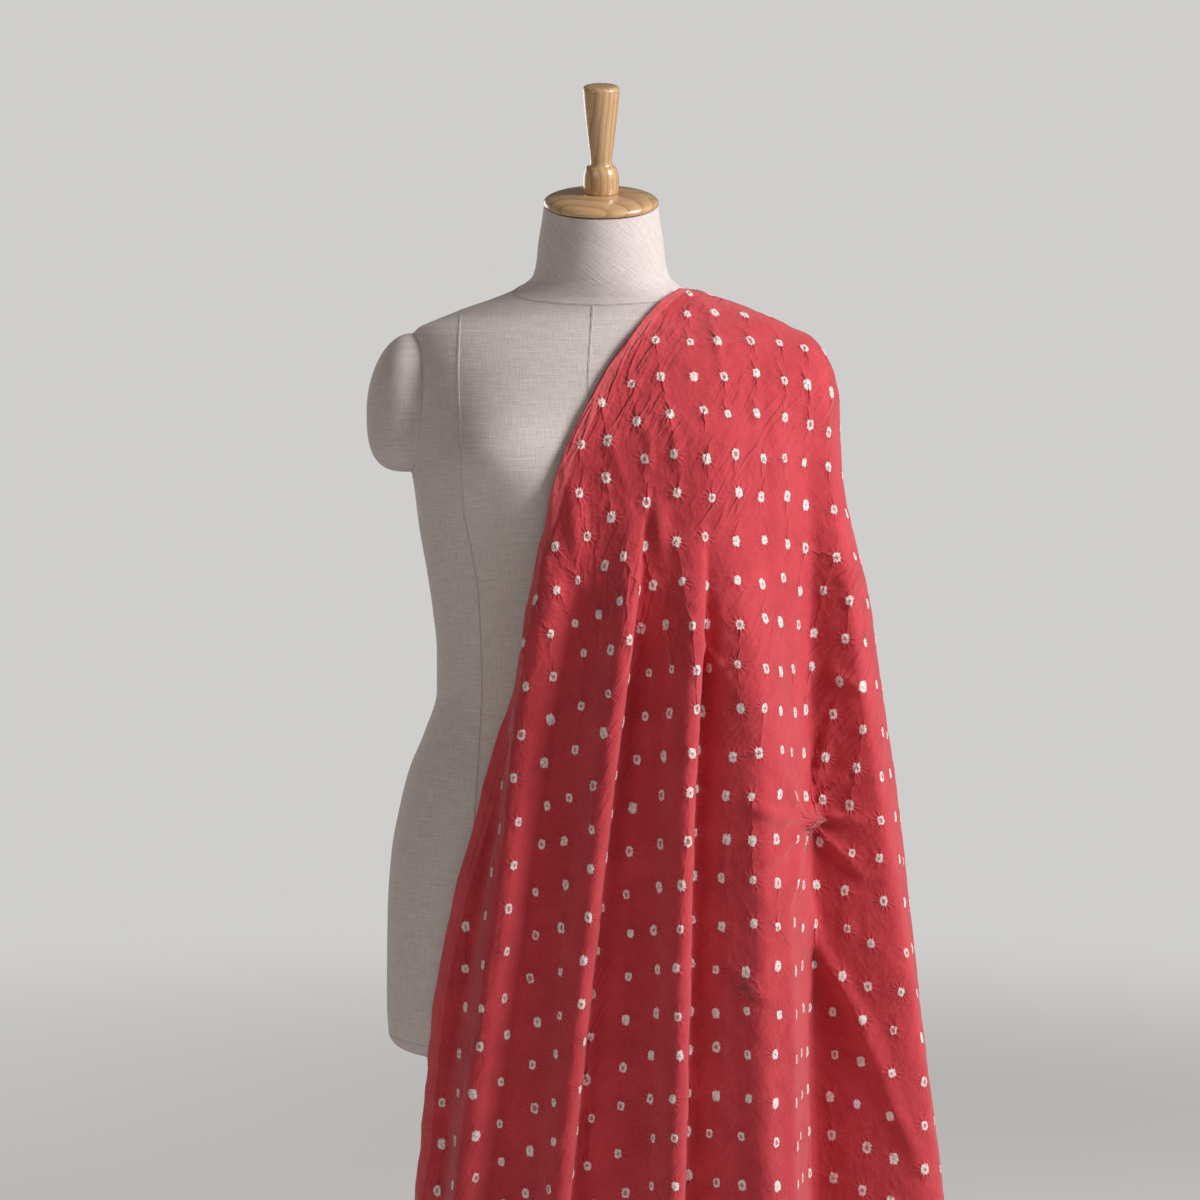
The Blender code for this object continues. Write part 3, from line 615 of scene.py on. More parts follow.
def valley_relief(grid):
    """How far forward the valley on the right and the plane beside it move the cloth."""
    x, z = grid[..., 0], grid[..., 2]
    heights = [row[0] for row in SIDE_VALLEY]
    valley, depth, rise, crest = (smooth_table(heights, [row[k] for row in SIDE_VALLEY], z)
                                  for k in (1, 2, 3, 4))
    side = x.max(axis=1, keepdims=True)
    left = np.clip((x - valley + VALLEY_LEFT) / VALLEY_LEFT, 0, 1)
    share = np.clip((x - valley) / np.maximum(side - valley, 0.01), 0, 1)
    climb = np.clip(share / crest, 0, 1)
    away = np.clip((share - crest) / (1 - crest), 0, 1)
    lift = -depth + (depth + rise) * climb ** 1.1
    lift = np.where(x < valley, -depth * left * left * (3 - 2 * left), lift)
    lift = np.where(share > crest, rise * np.cos(math.pi / 2 * away), lift)
    front = np.arange(grid.shape[1])[None, :] <= np.argmax(x, axis=1)[:, None]
    return lift * front


def crumple_relief(grid, along):
    """Soft creasing left in the cloth by tying, larger where it hangs free and along its free edges."""
    lift = np.zeros(grid.shape[:2])
    edge = np.minimum(along, along[:, -1:] - along)
    loose = 1 + EDGE_CRUMPLE * np.exp(-(edge / 0.040) ** 2)
    for r, row in enumerate(grid):
        free = min(1.0, max(0.25, (1.02 - row[0][2]) / 0.12))
        for c, point in enumerate(row):
            at = Vector((point[0], point[1], point[2] * 0.62)) / CRUMPLE_SIZE
            lift[r, c] = noise.fractal(at, 0.9, 2.1, 3) * CRUMPLE * free
    return np.maximum(lift, -CRUMPLE) * loose


def row_sink(x):
    """How far a row of dots has sunk at a distance across."""
    sink = np.zeros_like(x)
    for start, width, slope in ROW_SINKS:
        out = np.maximum((x - start) / width, 0.0)
        sink += slope * abs(width) * np.where(out < 1, out * out / 2, out - 0.5)
    return sink


def cloth_places(grid, unfolded):
    """The sheet's own coordinates: across from the warp line (u), down from the first row (v),
    and the length along each row and down each column."""
    span = np.linalg.norm(np.diff(grid, axis=1), axis=2)
    along = np.concatenate((np.zeros((len(grid), 1)), np.cumsum(span, axis=1)), axis=1)
    drop = np.linalg.norm(np.diff(grid, axis=0), axis=2)
    down = np.concatenate((np.zeros((1, grid.shape[1])), np.cumsum(drop, axis=0)), axis=0)
    levels = np.median(grid[..., 2], axis=1)
    front, back, depth = [], [], []
    for r, across in enumerate(unfolded):
        side = int(np.argmax(across))
        warp = min(table_value(WARP_LINE, 1, float(levels[r])), across[side])
        front.append(np.interp(warp, across[:side + 1], along[r, :side + 1]))
        back.append(np.interp(-warp, -across[side:], along[r, side:]))
        depth.append(np.interp(warp, across[:side + 1], grid[r, :side + 1, 1]))
    anchors = np.array((front, back, depth))
    for _ in range(20):
        anchors[:, 1:-1] = (anchors[:, :-2] + 2 * anchors[:, 1:-1] + anchors[:, 2:]) / 4
    fall = np.hypot(np.diff(levels), np.diff(anchors[2]))
    v_level = np.concatenate(([0], np.cumsum(fall)))
    v_level -= np.interp(-FIRST_ROW, -levels, v_level)
    side = int(np.median(np.argmax(unfolded, axis=1)))
    cut = side + round((grid.shape[1] - side) * BACK_SHARE)
    u = along - anchors[0][:, None]
    u[:, cut:] = anchors[1][:, None] - along[:, cut:]
    v = np.interp(-grid[..., 2], -levels, v_level) - row_sink(grid[..., 0])
    return u, v, along, down, cut


def tied_dots(grid, places, pitch, jitter):
    """Row and column of the mesh point under each tied dot, with the dot's place in the lattice."""
    u, v, along, down, cut = places
    dice = np.random.default_rng(11)
    edge = np.minimum(along, along[:, -1:] - along)
    usable = (edge > DOTS_FROM_EDGE) & (grid[..., 2] > HEM_HEIGHT + DOTS_FROM_HEM)
    dots = []
    for region, first, last in (("front", 0, cut), ("back", cut, grid.shape[1])):
        uu, vv, ok = u[:, first:last], v[:, first:last], usable[:, first:last]
        kept = [grid[d[0], d[1]] for d in dots]
        for i in range(math.floor(uu.min() / pitch[0]), math.ceil(uu.max() / pitch[0]) + 1):
            for j in range(math.floor(vv.min() / pitch[1]), math.ceil(vv.max() / pitch[1]) + 1):
                shift = (dice.random(2) - 0.5) * jitter
                away = (uu - i * pitch[0] - shift[0]) ** 2 + (vv - j * pitch[1] - shift[1]) ** 2
                at = np.unravel_index(int(np.argmin(away)), away.shape)
                if away[at] > DOT_TOLERANCE ** 2 or not ok[at]:
                    continue
                r, c = int(at[0]), int(at[1]) + first
                near = np.linalg.norm(np.array(kept) - grid[r, c], axis=1).min() if kept else np.inf
                if near < TIE_NEAR * pitch[0]:
                    continue
                dots.append((r, c, i, j, region))
    return dots


def dot_frames(grid, dots):
    """How far the mesh's columns lean from square at each dot."""
    lean = []
    for r, c, _, _, _ in dots:
        row_way = grid[r, min(c + 1, grid.shape[1] - 1)] - grid[r, max(c - 1, 0)]
        column_way = grid[min(r + 1, len(grid) - 1), c] - grid[max(r - 1, 0), c]
        lean.append(row_way @ column_way / np.linalg.norm(row_way) / np.linalg.norm(column_way))
    return np.array(lean)


def from_dot(places, dots, lean, owner, r, c):
    """Distance right of and below its dot for mesh points, each with the number of its dot."""
    along, down = places[2], places[3]
    dot_r = np.array([dot[0] for dot in dots])[owner]
    dot_c = np.array([dot[1] for dot in dots])[owner]
    right = along[r, c] - along[r, dot_c]
    below = down[r, dot_c] - down[dot_r, dot_c]
    return right + below * lean[owner], below * np.sqrt(1 - lean[owner] ** 2)


def nearest_dots(grid, places, dots, lean):
    """The number of the nearest dot for each face, or -1 where none is near."""
    along, down = places[2], places[3]
    owner = np.full((grid.shape[0] - 1, grid.shape[1] - 1), -1)
    best = np.full(owner.shape, TIE_REACH)
    for number, (r, c, _, _, _) in enumerate(dots):
        rows = np.flatnonzero(np.abs(down[:-1, c] - down[r, c]) < TIE_REACH)
        columns = np.flatnonzero(np.abs(along[r, :-1] - along[r, c]) < TIE_REACH * 1.3)
        rr, cc = np.meshgrid(rows, columns, indexing="ij")
        same = np.full(rr.shape, number)
        corners = [from_dot(places, dots, lean, same, rr + a, cc + b) for a, b in ((0, 0), (1, 1))]
        away = np.hypot((corners[0][0] + corners[1][0]) / 2, (corners[0][1] + corners[1][1]) / 2)
        near = away < best[rr, cc]
        best[rr[near], cc[near]] = away[near]
        owner[rr[near], cc[near]] = number
    return owner


def tie_creases(places, dots, lean):
    """For each dot, the ways to its neighbours and how sharp the crease is that runs each way."""
    dice = np.random.default_rng(23)
    number = {(dot[4], dot[2], dot[3]): k for k, dot in enumerate(dots)}
    ways = np.zeros((len(dots), 4, 3))
    ways[:, :, :2] = ((0, 1), (0, -1), (1, 0), (-1, 0))
    for k, (_, _, i, j, region) in enumerate(dots):
        high = min(max(1.25 - places[1][dots[k][0], dots[k][1]] / 0.45, 0.16), 1.0)
        for across, chance in ((0, CREASE_CHANCE[0] * high), (1, CREASE_CHANCE[1] * high)):
            other = number.get((region, i + across, j + 1 - across))
            sharp = float(dice.random() < chance) * (0.35 + 0.65 * dice.random())
            if other is None:
                continue
            away = from_dot(places, dots, lean, np.array([k]), np.array([dots[other][0]]),
                            np.array([dots[other][1]]))
            way = np.array((away[0][0], away[1][0]))
            way /= max(np.linalg.norm(way), 1e-9)
            here = 0 if across == 0 else (2 if way[0] > 0 else 3)
            ways[k, here] = (*way, sharp)
            ways[other, here ^ 1] = (*-way, sharp)
    return ways


def tie_maps(grid, places, pitch, jitter):
    """Corner maps of the ties: place beside the nearest dot, that dot's luck, and its creases;
    and each mesh point's distance from a dot."""
    dots = tied_dots(grid, places, pitch, jitter)
    lean = dot_frames(grid, dots)
    owner = nearest_dots(grid, places, dots, lean)
    ways = tie_creases(places, dots, lean)
    rr, cc = np.meshgrid(np.arange(owner.shape[0]), np.arange(owner.shape[1]), indexing="ij")
    steps = ((0, 0), (1, 0), (1, 1), (0, 1))
    corners = [from_dot(places, dots, lean, owner, rr + a, cc + b) for a, b in steps]
    tied = np.stack([np.stack(corner, axis=-1) for corner in corners], axis=2)
    away = np.full(grid.shape[:2], TIE_REACH)
    for k, (a, b) in enumerate(steps):
        part = away[a:a + owner.shape[0], b:b + owner.shape[1]]
        span = np.where(owner < 0, TIE_REACH, np.hypot(tied[:, :, k, 0], tied[:, :, k, 1]))
        np.minimum(part, span, out=part)
    centre = tied.mean(axis=2)
    towards = np.einsum("rck,rcwk->rcw", centre, ways[owner][..., :2])
    chosen = np.take_along_axis(ways[owner], towards.argmax(axis=2)[..., None, None], axis=2)[:, :, 0]
    aside = tied[..., 0] * chosen[:, :, None, 1] - tied[..., 1] * chosen[:, :, None, 0]
    sharp = np.repeat(np.where(owner < 0, 0.0, chosen[..., 2])[:, :, None], 4, axis=2)
    tied = np.where(owner[:, :, None, None] < 0, 0.5, tied)
    luck = np.stack((np.mod(owner * 0.61803, 1.0), np.mod(owner * 0.41421, 1.0)), axis=-1)
    luck = np.repeat(luck[:, :, None], 4, axis=2)
    crease = np.stack((aside, sharp), axis=-1)
    return tied.reshape(-1, 2), luck.reshape(-1, 2), crease.reshape(-1, 2), away


def star_places(grid, places):
    """For each mesh point, its distance across and down the sheet from the nearer of the two stars.
    The second star is half the size of the first, so its distances count double."""
    front = grid[..., 1] < 0.0
    found = []
    for x, z in STARS:
        away = np.where(front, np.hypot(grid[..., 0] - x, grid[..., 2] - z), np.inf)
        r, c = np.unravel_index(int(np.argmin(away)), away.shape)
        found.append((places[2] - places[2][:, c:c + 1], places[1] - places[1][r, c]))
    found[1] = (found[1][0] * 2, found[1][1] * 2)
    nearer = np.hypot(*found[0]) < np.hypot(*found[1])
    return np.column_stack([np.where(nearer, found[0][k], found[1][k]).ravel() for k in (0, 1)])


def plain_mesh(name, points, faces):
    """A mesh from points and faces."""
    mesh = bpy.data.meshes.new(name)
    mesh.from_pydata([tuple(map(float, point)) for point in points], [], faces)
    mesh.validate()
    return mesh


def add_piece(name, mesh, finish, slot, *nodes, smooth=math.radians(40)):
    """Links a piece that rides on the form, and lets it stand for its plain solids."""
    mesh.materials.clear()
    mesh.materials.append(finish)
    mesh.shade_smooth()
    mesh.set_sharp_from_angle(angle=smooth)
    piece = bpy.data.objects.new(name, mesh)
    bpy.context.scene.collection.objects.link(piece)
    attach(piece, "root")
    if nodes:
        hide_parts(*nodes)
    return piece


def set_uv(mesh, name, corner_uv):
    """Writes one UV map from an array with a row for each face corner."""
    layer = mesh.uv_layers.new(name=name)
    layer.data.foreach_set("uv", np.asarray(corner_uv, np.float32).ravel())


def corner_points(mesh):
    """Index of the point at each face corner."""
    index = np.zeros(len(mesh.loops), np.int32)
    mesh.loops.foreach_get("vertex_index", index)
    return index


def cloth_mesh(name, values):
    """The folded sheet with its creases and ties. Its UV maps hold the flat cloth, the distance to
    the front edge and the hem, the stars and the ties."""
    grid, unfolded = cloth_grid()
    grid[..., 1] -= valley_relief(grid)
    places = cloth_places(grid, unfolded)
    pitch = (values.dot_spacing_across, values.dot_spacing_down)
    tied, luck, crease, away = tie_maps(grid, places, pitch, values.dot_jitter)
    lift = crease_relief(grid) + crumple_relief(grid, places[2])
    share, radius, width = TIE_HOLLOW
    lift += TIE_PEAK * np.exp(-(away / TIE_PEAK_WIDTH) ** 2)
    lift -= TIE_PEAK * share * np.exp(-((away - radius) / width) ** 2)
    folded = grid + grid_normals(grid) * lift[..., None]
    height, width = grid.shape[:2]
    start = (np.arange(height - 1)[:, None] * width + np.arange(width - 1)[None, :]).ravel()
    faces = np.column_stack((start, start + width, start + width + 1, start + 1)).tolist()
    mesh = plain_mesh(name, folded.reshape(-1, 3), faces)
    index = corner_points(mesh)
    along = places[2]
    to_side = np.minimum(along, (along[:, -1:] - along) + 0.5)
    to_hem = grid[..., 2] - HEM_HEIGHT
    set_uv(mesh, "flat_cloth", np.column_stack((places[0].ravel(), places[1].ravel()))[index])
    set_uv(mesh, "to_edge", np.column_stack((to_side.ravel(), to_hem.ravel()))[index])
    set_uv(mesh, "star_at", star_places(grid, places)[index])
    set_uv(mesh, "tied_at", tied)
    set_uv(mesh, "tie_luck", luck)
    set_uv(mesh, "tie_crease", crease)
    return mesh


def cover_point(angle, height):
    """Point of the torso's cover at an angle from +X towards the back."""
    levels = np.full_like(angle, height) if np.ndim(angle) else np.array([height])
    turn = angle if np.ndim(angle) else np.array([angle])
    radius = torso_radius(-turn, levels)
    x, y = radius * np.cos(turn), radius * np.sin(turn)
    lean = torso_column(5, levels)
    return np.column_stack((x, y, levels + lean * y))


def cover_levels():
    """Heights of the cover's rings."""
    low, top = TORSO_LEVELS[0][0], TORSO_LEVELS[-1][0]
    spans = ((low, 0.4500, 0.0012), (0.4500, 1.0860, COVER_STEP), (1.0860, 1.1560, COVER_SHOULDER_STEP),
             (1.1560, top, 0.0040))
    levels = []
    for start, end, step in spans:
        levels += list(np.linspace(start, end, round((end - start) / step), endpoint=False))
    return [float(height) for height in levels] + [top]


def neck_seam_height(y):
    """Height of the seam between body and neck, which leans with the neck."""
    return NECK_SEAM_FRONT + NECK_SEAM_SLOPE * (y + 0.058)


def cover_mesh(name):
    """Linen cover of the torso and neck. Its UV map is in metres, cut on the bias on the neck."""
    levels = cover_levels()
    turns = np.radians(90 + np.arange(COVER_SIDES) * 360 / COVER_SIDES)
    rings = np.array([cover_point(turns, height) for height in levels])
    count = len(levels)
    faces = []
    for r in range(count - 1):
        for k in range(COVER_SIDES):
            a, b = r * COVER_SIDES + k, r * COVER_SIDES + (k + 1) % COVER_SIDES
            faces.append((a, b, b + COVER_SIDES, a + COVER_SIDES))
    faces.append(tuple(reversed(range(COVER_SIDES))))
    faces.append(tuple(range((count - 1) * COVER_SIDES, count * COVER_SIDES)))
    mesh = plain_mesh(name, rings.reshape(-1, 3), faces)
    closed = np.concatenate((rings, rings[:, :1]), axis=1)
    around = np.linalg.norm(np.diff(closed, axis=1), axis=2).cumsum(axis=1)
    around = np.concatenate((np.zeros((count, 1)), around), axis=1)
    around -= around[:, COVER_SIDES // 2:COVER_SIDES // 2 + 1]
    rise = np.linalg.norm(np.diff(closed, axis=0), axis=2).cumsum(axis=0)
    rise = np.concatenate((np.zeros((1, COVER_SIDES + 1)), rise), axis=0)
    rise = np.repeat(rise.mean(axis=1, keepdims=True), COVER_SIDES + 1, axis=1)
    cosine, sine = math.cos(BIAS), math.sin(BIAS)
    corners = []
    for r in range(count - 1):
        for k in range(COVER_SIDES):
            quad = [(r, k), (r, k + 1), (r + 1, k + 1), (r + 1, k)]
            centre = rings[r, k]
            for i, j in quad:
                a, b = around[i, j], rise[i, j]
                if centre[2] > neck_seam_height(centre[1]):
                    a, b = a * cosine - b * sine, a * sine + b * cosine
                corners.append((a, b))
    corners += [(rings[0, k, 0], rings[0, k, 1]) for k in reversed(range(COVER_SIDES))]
    corners += [(rings[-1, k, 0], rings[-1, k, 1]) for k in range(COVER_SIDES)]
    set_uv(mesh, "flat_cover", corners)
    return mesh


def arm_cap_point(share, across, up):
    """Point of the cap's rim at a share of its bulge. across and up are a cosine and a sine."""
    power, half = ARM_CAP_LOWER_POWER, ARM_CAP_LOWER
    if up > 0:
        power, half = ARM_CAP_UPPER_POWER, ARM_CAP_UPPER
    rise = abs(up) * (1 - share ** power) ** (1 / power)
    depth = ARM_CAP_HALF_DEPTH * math.sqrt(max(0.0, (1 - rise ** power) ** (2 / power) - share ** 2))
    return math.copysign(depth, across), math.copysign(rise * half, up)


def cap_mesh(name, side):
    """A padded arm cap, domed out from the armhole, with the linen's UV map in metres."""
    sides = CAP_SIDES
    shares = [0.0] + [math.sin(math.radians(89.6 * k / CAP_RINGS)) for k in range(CAP_RINGS + 1)]
    points = []
    for k, share in enumerate(shares):
        x = ARM_CAP_INNER if k == 0 else ARM_CAP_ROOT + ARM_CAP_BULGE * share
        for step in range(sides):
            turn = 2 * math.pi * step / sides
            y, z = arm_cap_point(share, math.cos(turn), math.sin(turn))
            points.append((side * x, side * y, ARM_CAP_HEIGHT + z))
    faces = []
    for r in range(len(shares) - 1):
        for k in range(sides):
            a, b = r * sides + k, r * sides + (k + 1) % sides
            faces.append((a, b, b + sides, a + sides))
    faces.append(tuple(reversed(range(sides))))
    faces.append(tuple(range((len(shares) - 1) * sides, len(shares) * sides)))
    mesh = plain_mesh(name, points, faces)
    flat = np.array([(p[1] + (abs(p[0]) - ARM_CAP_ROOT) * 0.4, p[2]) for p in points])
    set_uv(mesh, "flat_cover", flat[corner_points(mesh)])
    return mesh


def smooth_profile(profile, step):
    """A turned profile's points joined by a smooth curve, top to bottom."""
    points = np.array(profile, float)
    length = np.concatenate(([0], np.cumsum(np.hypot(*np.diff(points, axis=0).T))))
    at = np.linspace(0, length[-1], max(2, round(length[-1] / step)))
    return [(float(r), float(z)) for r, z in zip(smooth_table(length, points[:, 0], at),
                                                  smooth_table(length, points[:, 1], at))]


def turned_mesh(name, parts, step, sides, place=None):
    """A turned piece from profile parts, top to bottom, each smooth in itself, with closed poles."""
    rings = []
    for part in parts:
        rings += smooth_profile(part, step)[(1 if rings else 0):]
    rings = [ring for ring in rings if ring[0] > 1e-5]
    points = [(r * math.cos(2 * math.pi * k / sides), r * math.sin(2 * math.pi * k / sides), z)
              for r, z in rings for k in range(sides)]
    top, low = len(points), len(points) + 1
    points += [(0, 0, rings[0][1]), (0, 0, rings[-1][1])]
    faces = []
    for k in range(sides):
        after = (k + 1) % sides
        faces.append((top, k, after))
        for r in range(len(rings) - 1):
            a, b = r * sides + k, r * sides + after
            faces.append((a, a + sides, b + sides, b))
        last = (len(rings) - 1) * sides
        faces.append((low, last + after, last + k))
    mesh = plain_mesh(name, points, faces)
    if place is not None:
        mesh.transform(place)
    return mesh


def seam_path(points, normals, closed=False):
    """A line on the cover as loose edges, with the way across the seam at each point."""
    points, normals = np.array(points), np.array(normals)
    way = np.gradient(points, axis=0)
    if closed:
        way = np.roll(points, -1, axis=0) - np.roll(points, 1, axis=0)
    across = np.cross(normals, way)
    across /= np.linalg.norm(across, axis=1)[:, None]
    edges = [(k, k + 1) for k in range(len(points) - 1)]
    if closed:
        edges.append((len(points) - 1, 0))
    return points, across, edges


def surface_normal(angle, height):
    """Outward normal of the cover at an angle and height."""
    small = 0.004
    around = cover_point(angle + small, height) - cover_point(angle - small, height)
    up = cover_point(angle, height + small / 8) - cover_point(angle, height - small / 8)
    normal = np.cross(around, up)[0]
    return normal / np.linalg.norm(normal)


def turn_at(height, across, front):
    """Angle of the cover's point at a distance from the centre line, at one height."""
    low, high = (-math.pi / 2, -0.02) if front else (math.pi / 2, 0.02)
    for _ in range(40):
        middle = (low + high) / 2
        x = cover_point(middle, height)[0, 0]
        low, high = (middle, high) if x < across else (low, middle)
    return (low + high) / 2


def upright_seam(table, front, side):
    """A seam that runs down the cover, from a table of heights and distances."""
    points, normals = [], []
    for height in np.arange(table[0][0], table[-1][0], -0.006):
        across = table_value(table, 1, float(height))
        angle = turn_at(float(height), abs(across), front)
        if across * side < 0:
            angle = (-math.pi if front else math.pi) - angle
        normal = surface_normal(angle, float(height))
        points.append(cover_point(angle, float(height))[0] + normal * SEAM_STAND_OFF)
        normals.append(normal)
    return seam_path(points, normals)


def neck_seam():
    """The seam round the foot of the neck."""
    points, normals = [], []
    for angle in np.radians(np.arange(0, 360, 3)):
        low, high = 1.100, 1.190
        for _ in range(30):
            middle = (low + high) / 2
            point = cover_point(float(angle), middle)[0]
            low, high = (middle, high) if point[2] < neck_seam_height(point[1]) else (low, middle)
        normal = surface_normal(float(angle), middle)
        points.append(cover_point(float(angle), middle)[0] + normal * SEAM_STAND_OFF)
        normals.append(normal)
    return seam_path(points, normals, closed=True)


def rim_seam(height):
    """The line of the turned-in edge above the lower rim."""
    points, normals = [], []
    for angle in np.radians(np.arange(0, 360, 3)):
        normal = surface_normal(float(angle), height)
        points.append(cover_point(float(angle), height)[0] + normal * SEAM_STAND_OFF)
        normals.append(normal)
    return seam_path(points, normals, closed=True)


def armhole_seam(side):
    """The edge of the arm cap where it meets the body."""
    points, normals = [], []
    for step in range(120):
        turn = 2 * math.pi * step / 120
        y, z = arm_cap_point(0.0, math.cos(turn), math.sin(turn))
        height = ARM_CAP_HEIGHT + z
        low, high = 0.05, 0.30
        for _ in range(40):
            middle = (low + high) / 2
            angle = math.atan2(y, middle)
            radius = float(torso_radius(np.array([-angle]), np.array([height]))[0])
            low, high = (middle, high) if math.hypot(middle, y) < radius else (low, middle)
        out = (middle - ARM_CAP_ROOT) / ARM_CAP_BULGE
        y, z = arm_cap_point(min(max(out, 0.0), 0.99), math.cos(turn), math.sin(turn))
        points.append((side * (middle + 0.0004), y, ARM_CAP_HEIGHT + z))
        normals.append((side * 0.8, 0.6 * math.cos(turn), 0.6 * math.sin(turn)))
    return seam_path(points, normals, closed=True)


def node(tree, kind, inputs=None, **settings):
    """Adds a node, sets its settings, and fills or links its inputs."""
    made = tree.nodes.new(kind)
    for name, value in settings.items():
        setattr(made, name, value)
    for name, value in (inputs or {}).items():
        socket = made.inputs[name]
        if isinstance(value, bpy.types.NodeSocket):
            tree.links.new(value, socket)
        else:
            socket.default_value = value
    return made


def calc(tree, operation, *values):
    """A Math node's result."""
    return node(tree, "ShaderNodeMath", dict(enumerate(values)), operation=operation).outputs[0]


def plus(tree, first, second):
    """Two values added."""
    return calc(tree, "ADD", first, second)


def minus(tree, first, second):
    """The second value taken from the first."""
    return calc(tree, "SUBTRACT", first, second)


def times(tree, first, second):
    """Two values multiplied."""
    return calc(tree, "MULTIPLY", first, second)


def shares(tree, first, second):
    """The first value divided by the second."""
    return calc(tree, "DIVIDE", first, second)


def spread(tree, value, size):
    """A noise value made to run to both sides of 0 over a size."""
    return times(tree, minus(tree, value, 0.5), size)


def winding(tree, value):
    """A noise value's distance from its middle, which is 0 along winding lines."""
    return calc(tree, "ABSOLUTE", minus(tree, value, 0.5))


def radius_of(tree, x, y):
    """The length of a flat vector."""
    return calc(tree, "SQRT", plus(tree, times(tree, x, x), times(tree, y, y)))


def parts_of(tree, vector):
    """The X, Y and Z of a vector."""
    return node(tree, "ShaderNodeSeparateXYZ", {"Vector": vector}).outputs


def channels_of(tree, colour):
    """The three channels of a colour."""
    return node(tree, "ShaderNodeSeparateColor", {"Color": colour}).outputs


def vector_of(tree, x, y, z):
    """A vector from its parts."""
    return node(tree, "ShaderNodeCombineXYZ", {"X": x, "Y": y, "Z": z}).outputs[0]


def noise_at(tree, place, scale, detail, **settings):
    """A Noise Texture's value at a place."""
    inputs = {"Vector": place, "Scale": scale, "Detail": detail, **settings}
    return node(tree, "ShaderNodeTexNoise", inputs).outputs[0]


def moved_at(tree, place, kind="POINT", **settings):
    """A place scaled and turned by a Mapping node."""
    return node(tree, "ShaderNodeMapping", {"Vector": place, **settings}, vector_type=kind).outputs[0]


def uv_map(tree, name):
    """The vector of one UV map."""
    return node(tree, "ShaderNodeUVMap", None, uv_map=name).outputs[0]


def ramp_between(tree, value, low, high, start=0.0, end=1.0):
    """A value mapped smoothly from low..high to start..end, and held outside."""
    made = node(tree, "ShaderNodeMapRange", {"Value": value, "From Min": low, "From Max": high,
                                             "To Min": start, "To Max": end})
    made.interpolation_type = "SMOOTHSTEP"
    return made.outputs["Result"]


def blend_colour(tree, factor, first, second):
    """Two colours mixed by a factor."""
    made = node(tree, "ShaderNodeMix", None, data_type="RGBA")
    for slot, value in ((0, factor), (6, first), (7, second)):
        if isinstance(value, bpy.types.NodeSocket):
            tree.links.new(value, made.inputs[slot])
        else:
            made.inputs[slot].default_value = value if slot == 0 else (*value, 1)
    return made.outputs[2]


def new_tree(name, kind_of_tree, inputs, outputs):
    """A node tree with its named inputs and outputs: (tree, input sockets, output node)."""
    tree = bpy.data.node_groups.new(name, kind_of_tree)
    for title, kind, default in inputs:
        socket = tree.interface.new_socket(title, in_out="INPUT", socket_type=kind)
        if default is not None:
            socket.default_value = default
    for title, kind in outputs:
        tree.interface.new_socket(title, in_out="OUTPUT", socket_type=kind)
    return tree, tree.nodes.new("NodeGroupInput").outputs, tree.nodes.new("NodeGroupOutput")


def yarn_group():
    """Plain weave with uneven yarns. The vector is the flat cloth in metres."""
    tree, given, put = new_tree("uneven_yarns", "ShaderNodeTree", (
        ("Vector", "NodeSocketVector", None), ("Yarn", "NodeSocketFloat", 0.001),
        ("Slub Length", "NodeSocketFloat", 0.02),
    ), (("Height", "NodeSocketFloat"), ("Tone", "NodeSocketFloat"), ("Slub", "NodeSocketFloat")))
    parts = parts_of(tree, given["Vector"])
    yarns = []
    for across, along, shift in ((0, 1, 0.0), (1, 0, 7.3)):
        fine = shares(tree, parts[across], given["Yarn"])
        slow = shares(tree, parts[along], given["Slub Length"])
        yarns.append(noise_at(tree, vector_of(tree, fine, slow, shift), 1.0, 1.5, Roughness=0.55))
    height = times(tree, plus(tree, yarns[0], yarns[1]), 0.5)
    wide = shares(tree, parts[1], times(tree, given["Yarn"], 1.5))
    far = shares(tree, parts[0], times(tree, given["Slub Length"], 3.0))
    slub = noise_at(tree, vector_of(tree, far, wide, 3.1), 1.0, 0.0)
    tree.links.new(height, put.inputs["Height"])
    tree.links.new(ramp_between(tree, height, 0.36, 0.64), put.inputs["Tone"])
    tree.links.new(ramp_between(tree, slub, 0.66, 0.78), put.inputs["Slub"])
    return tree


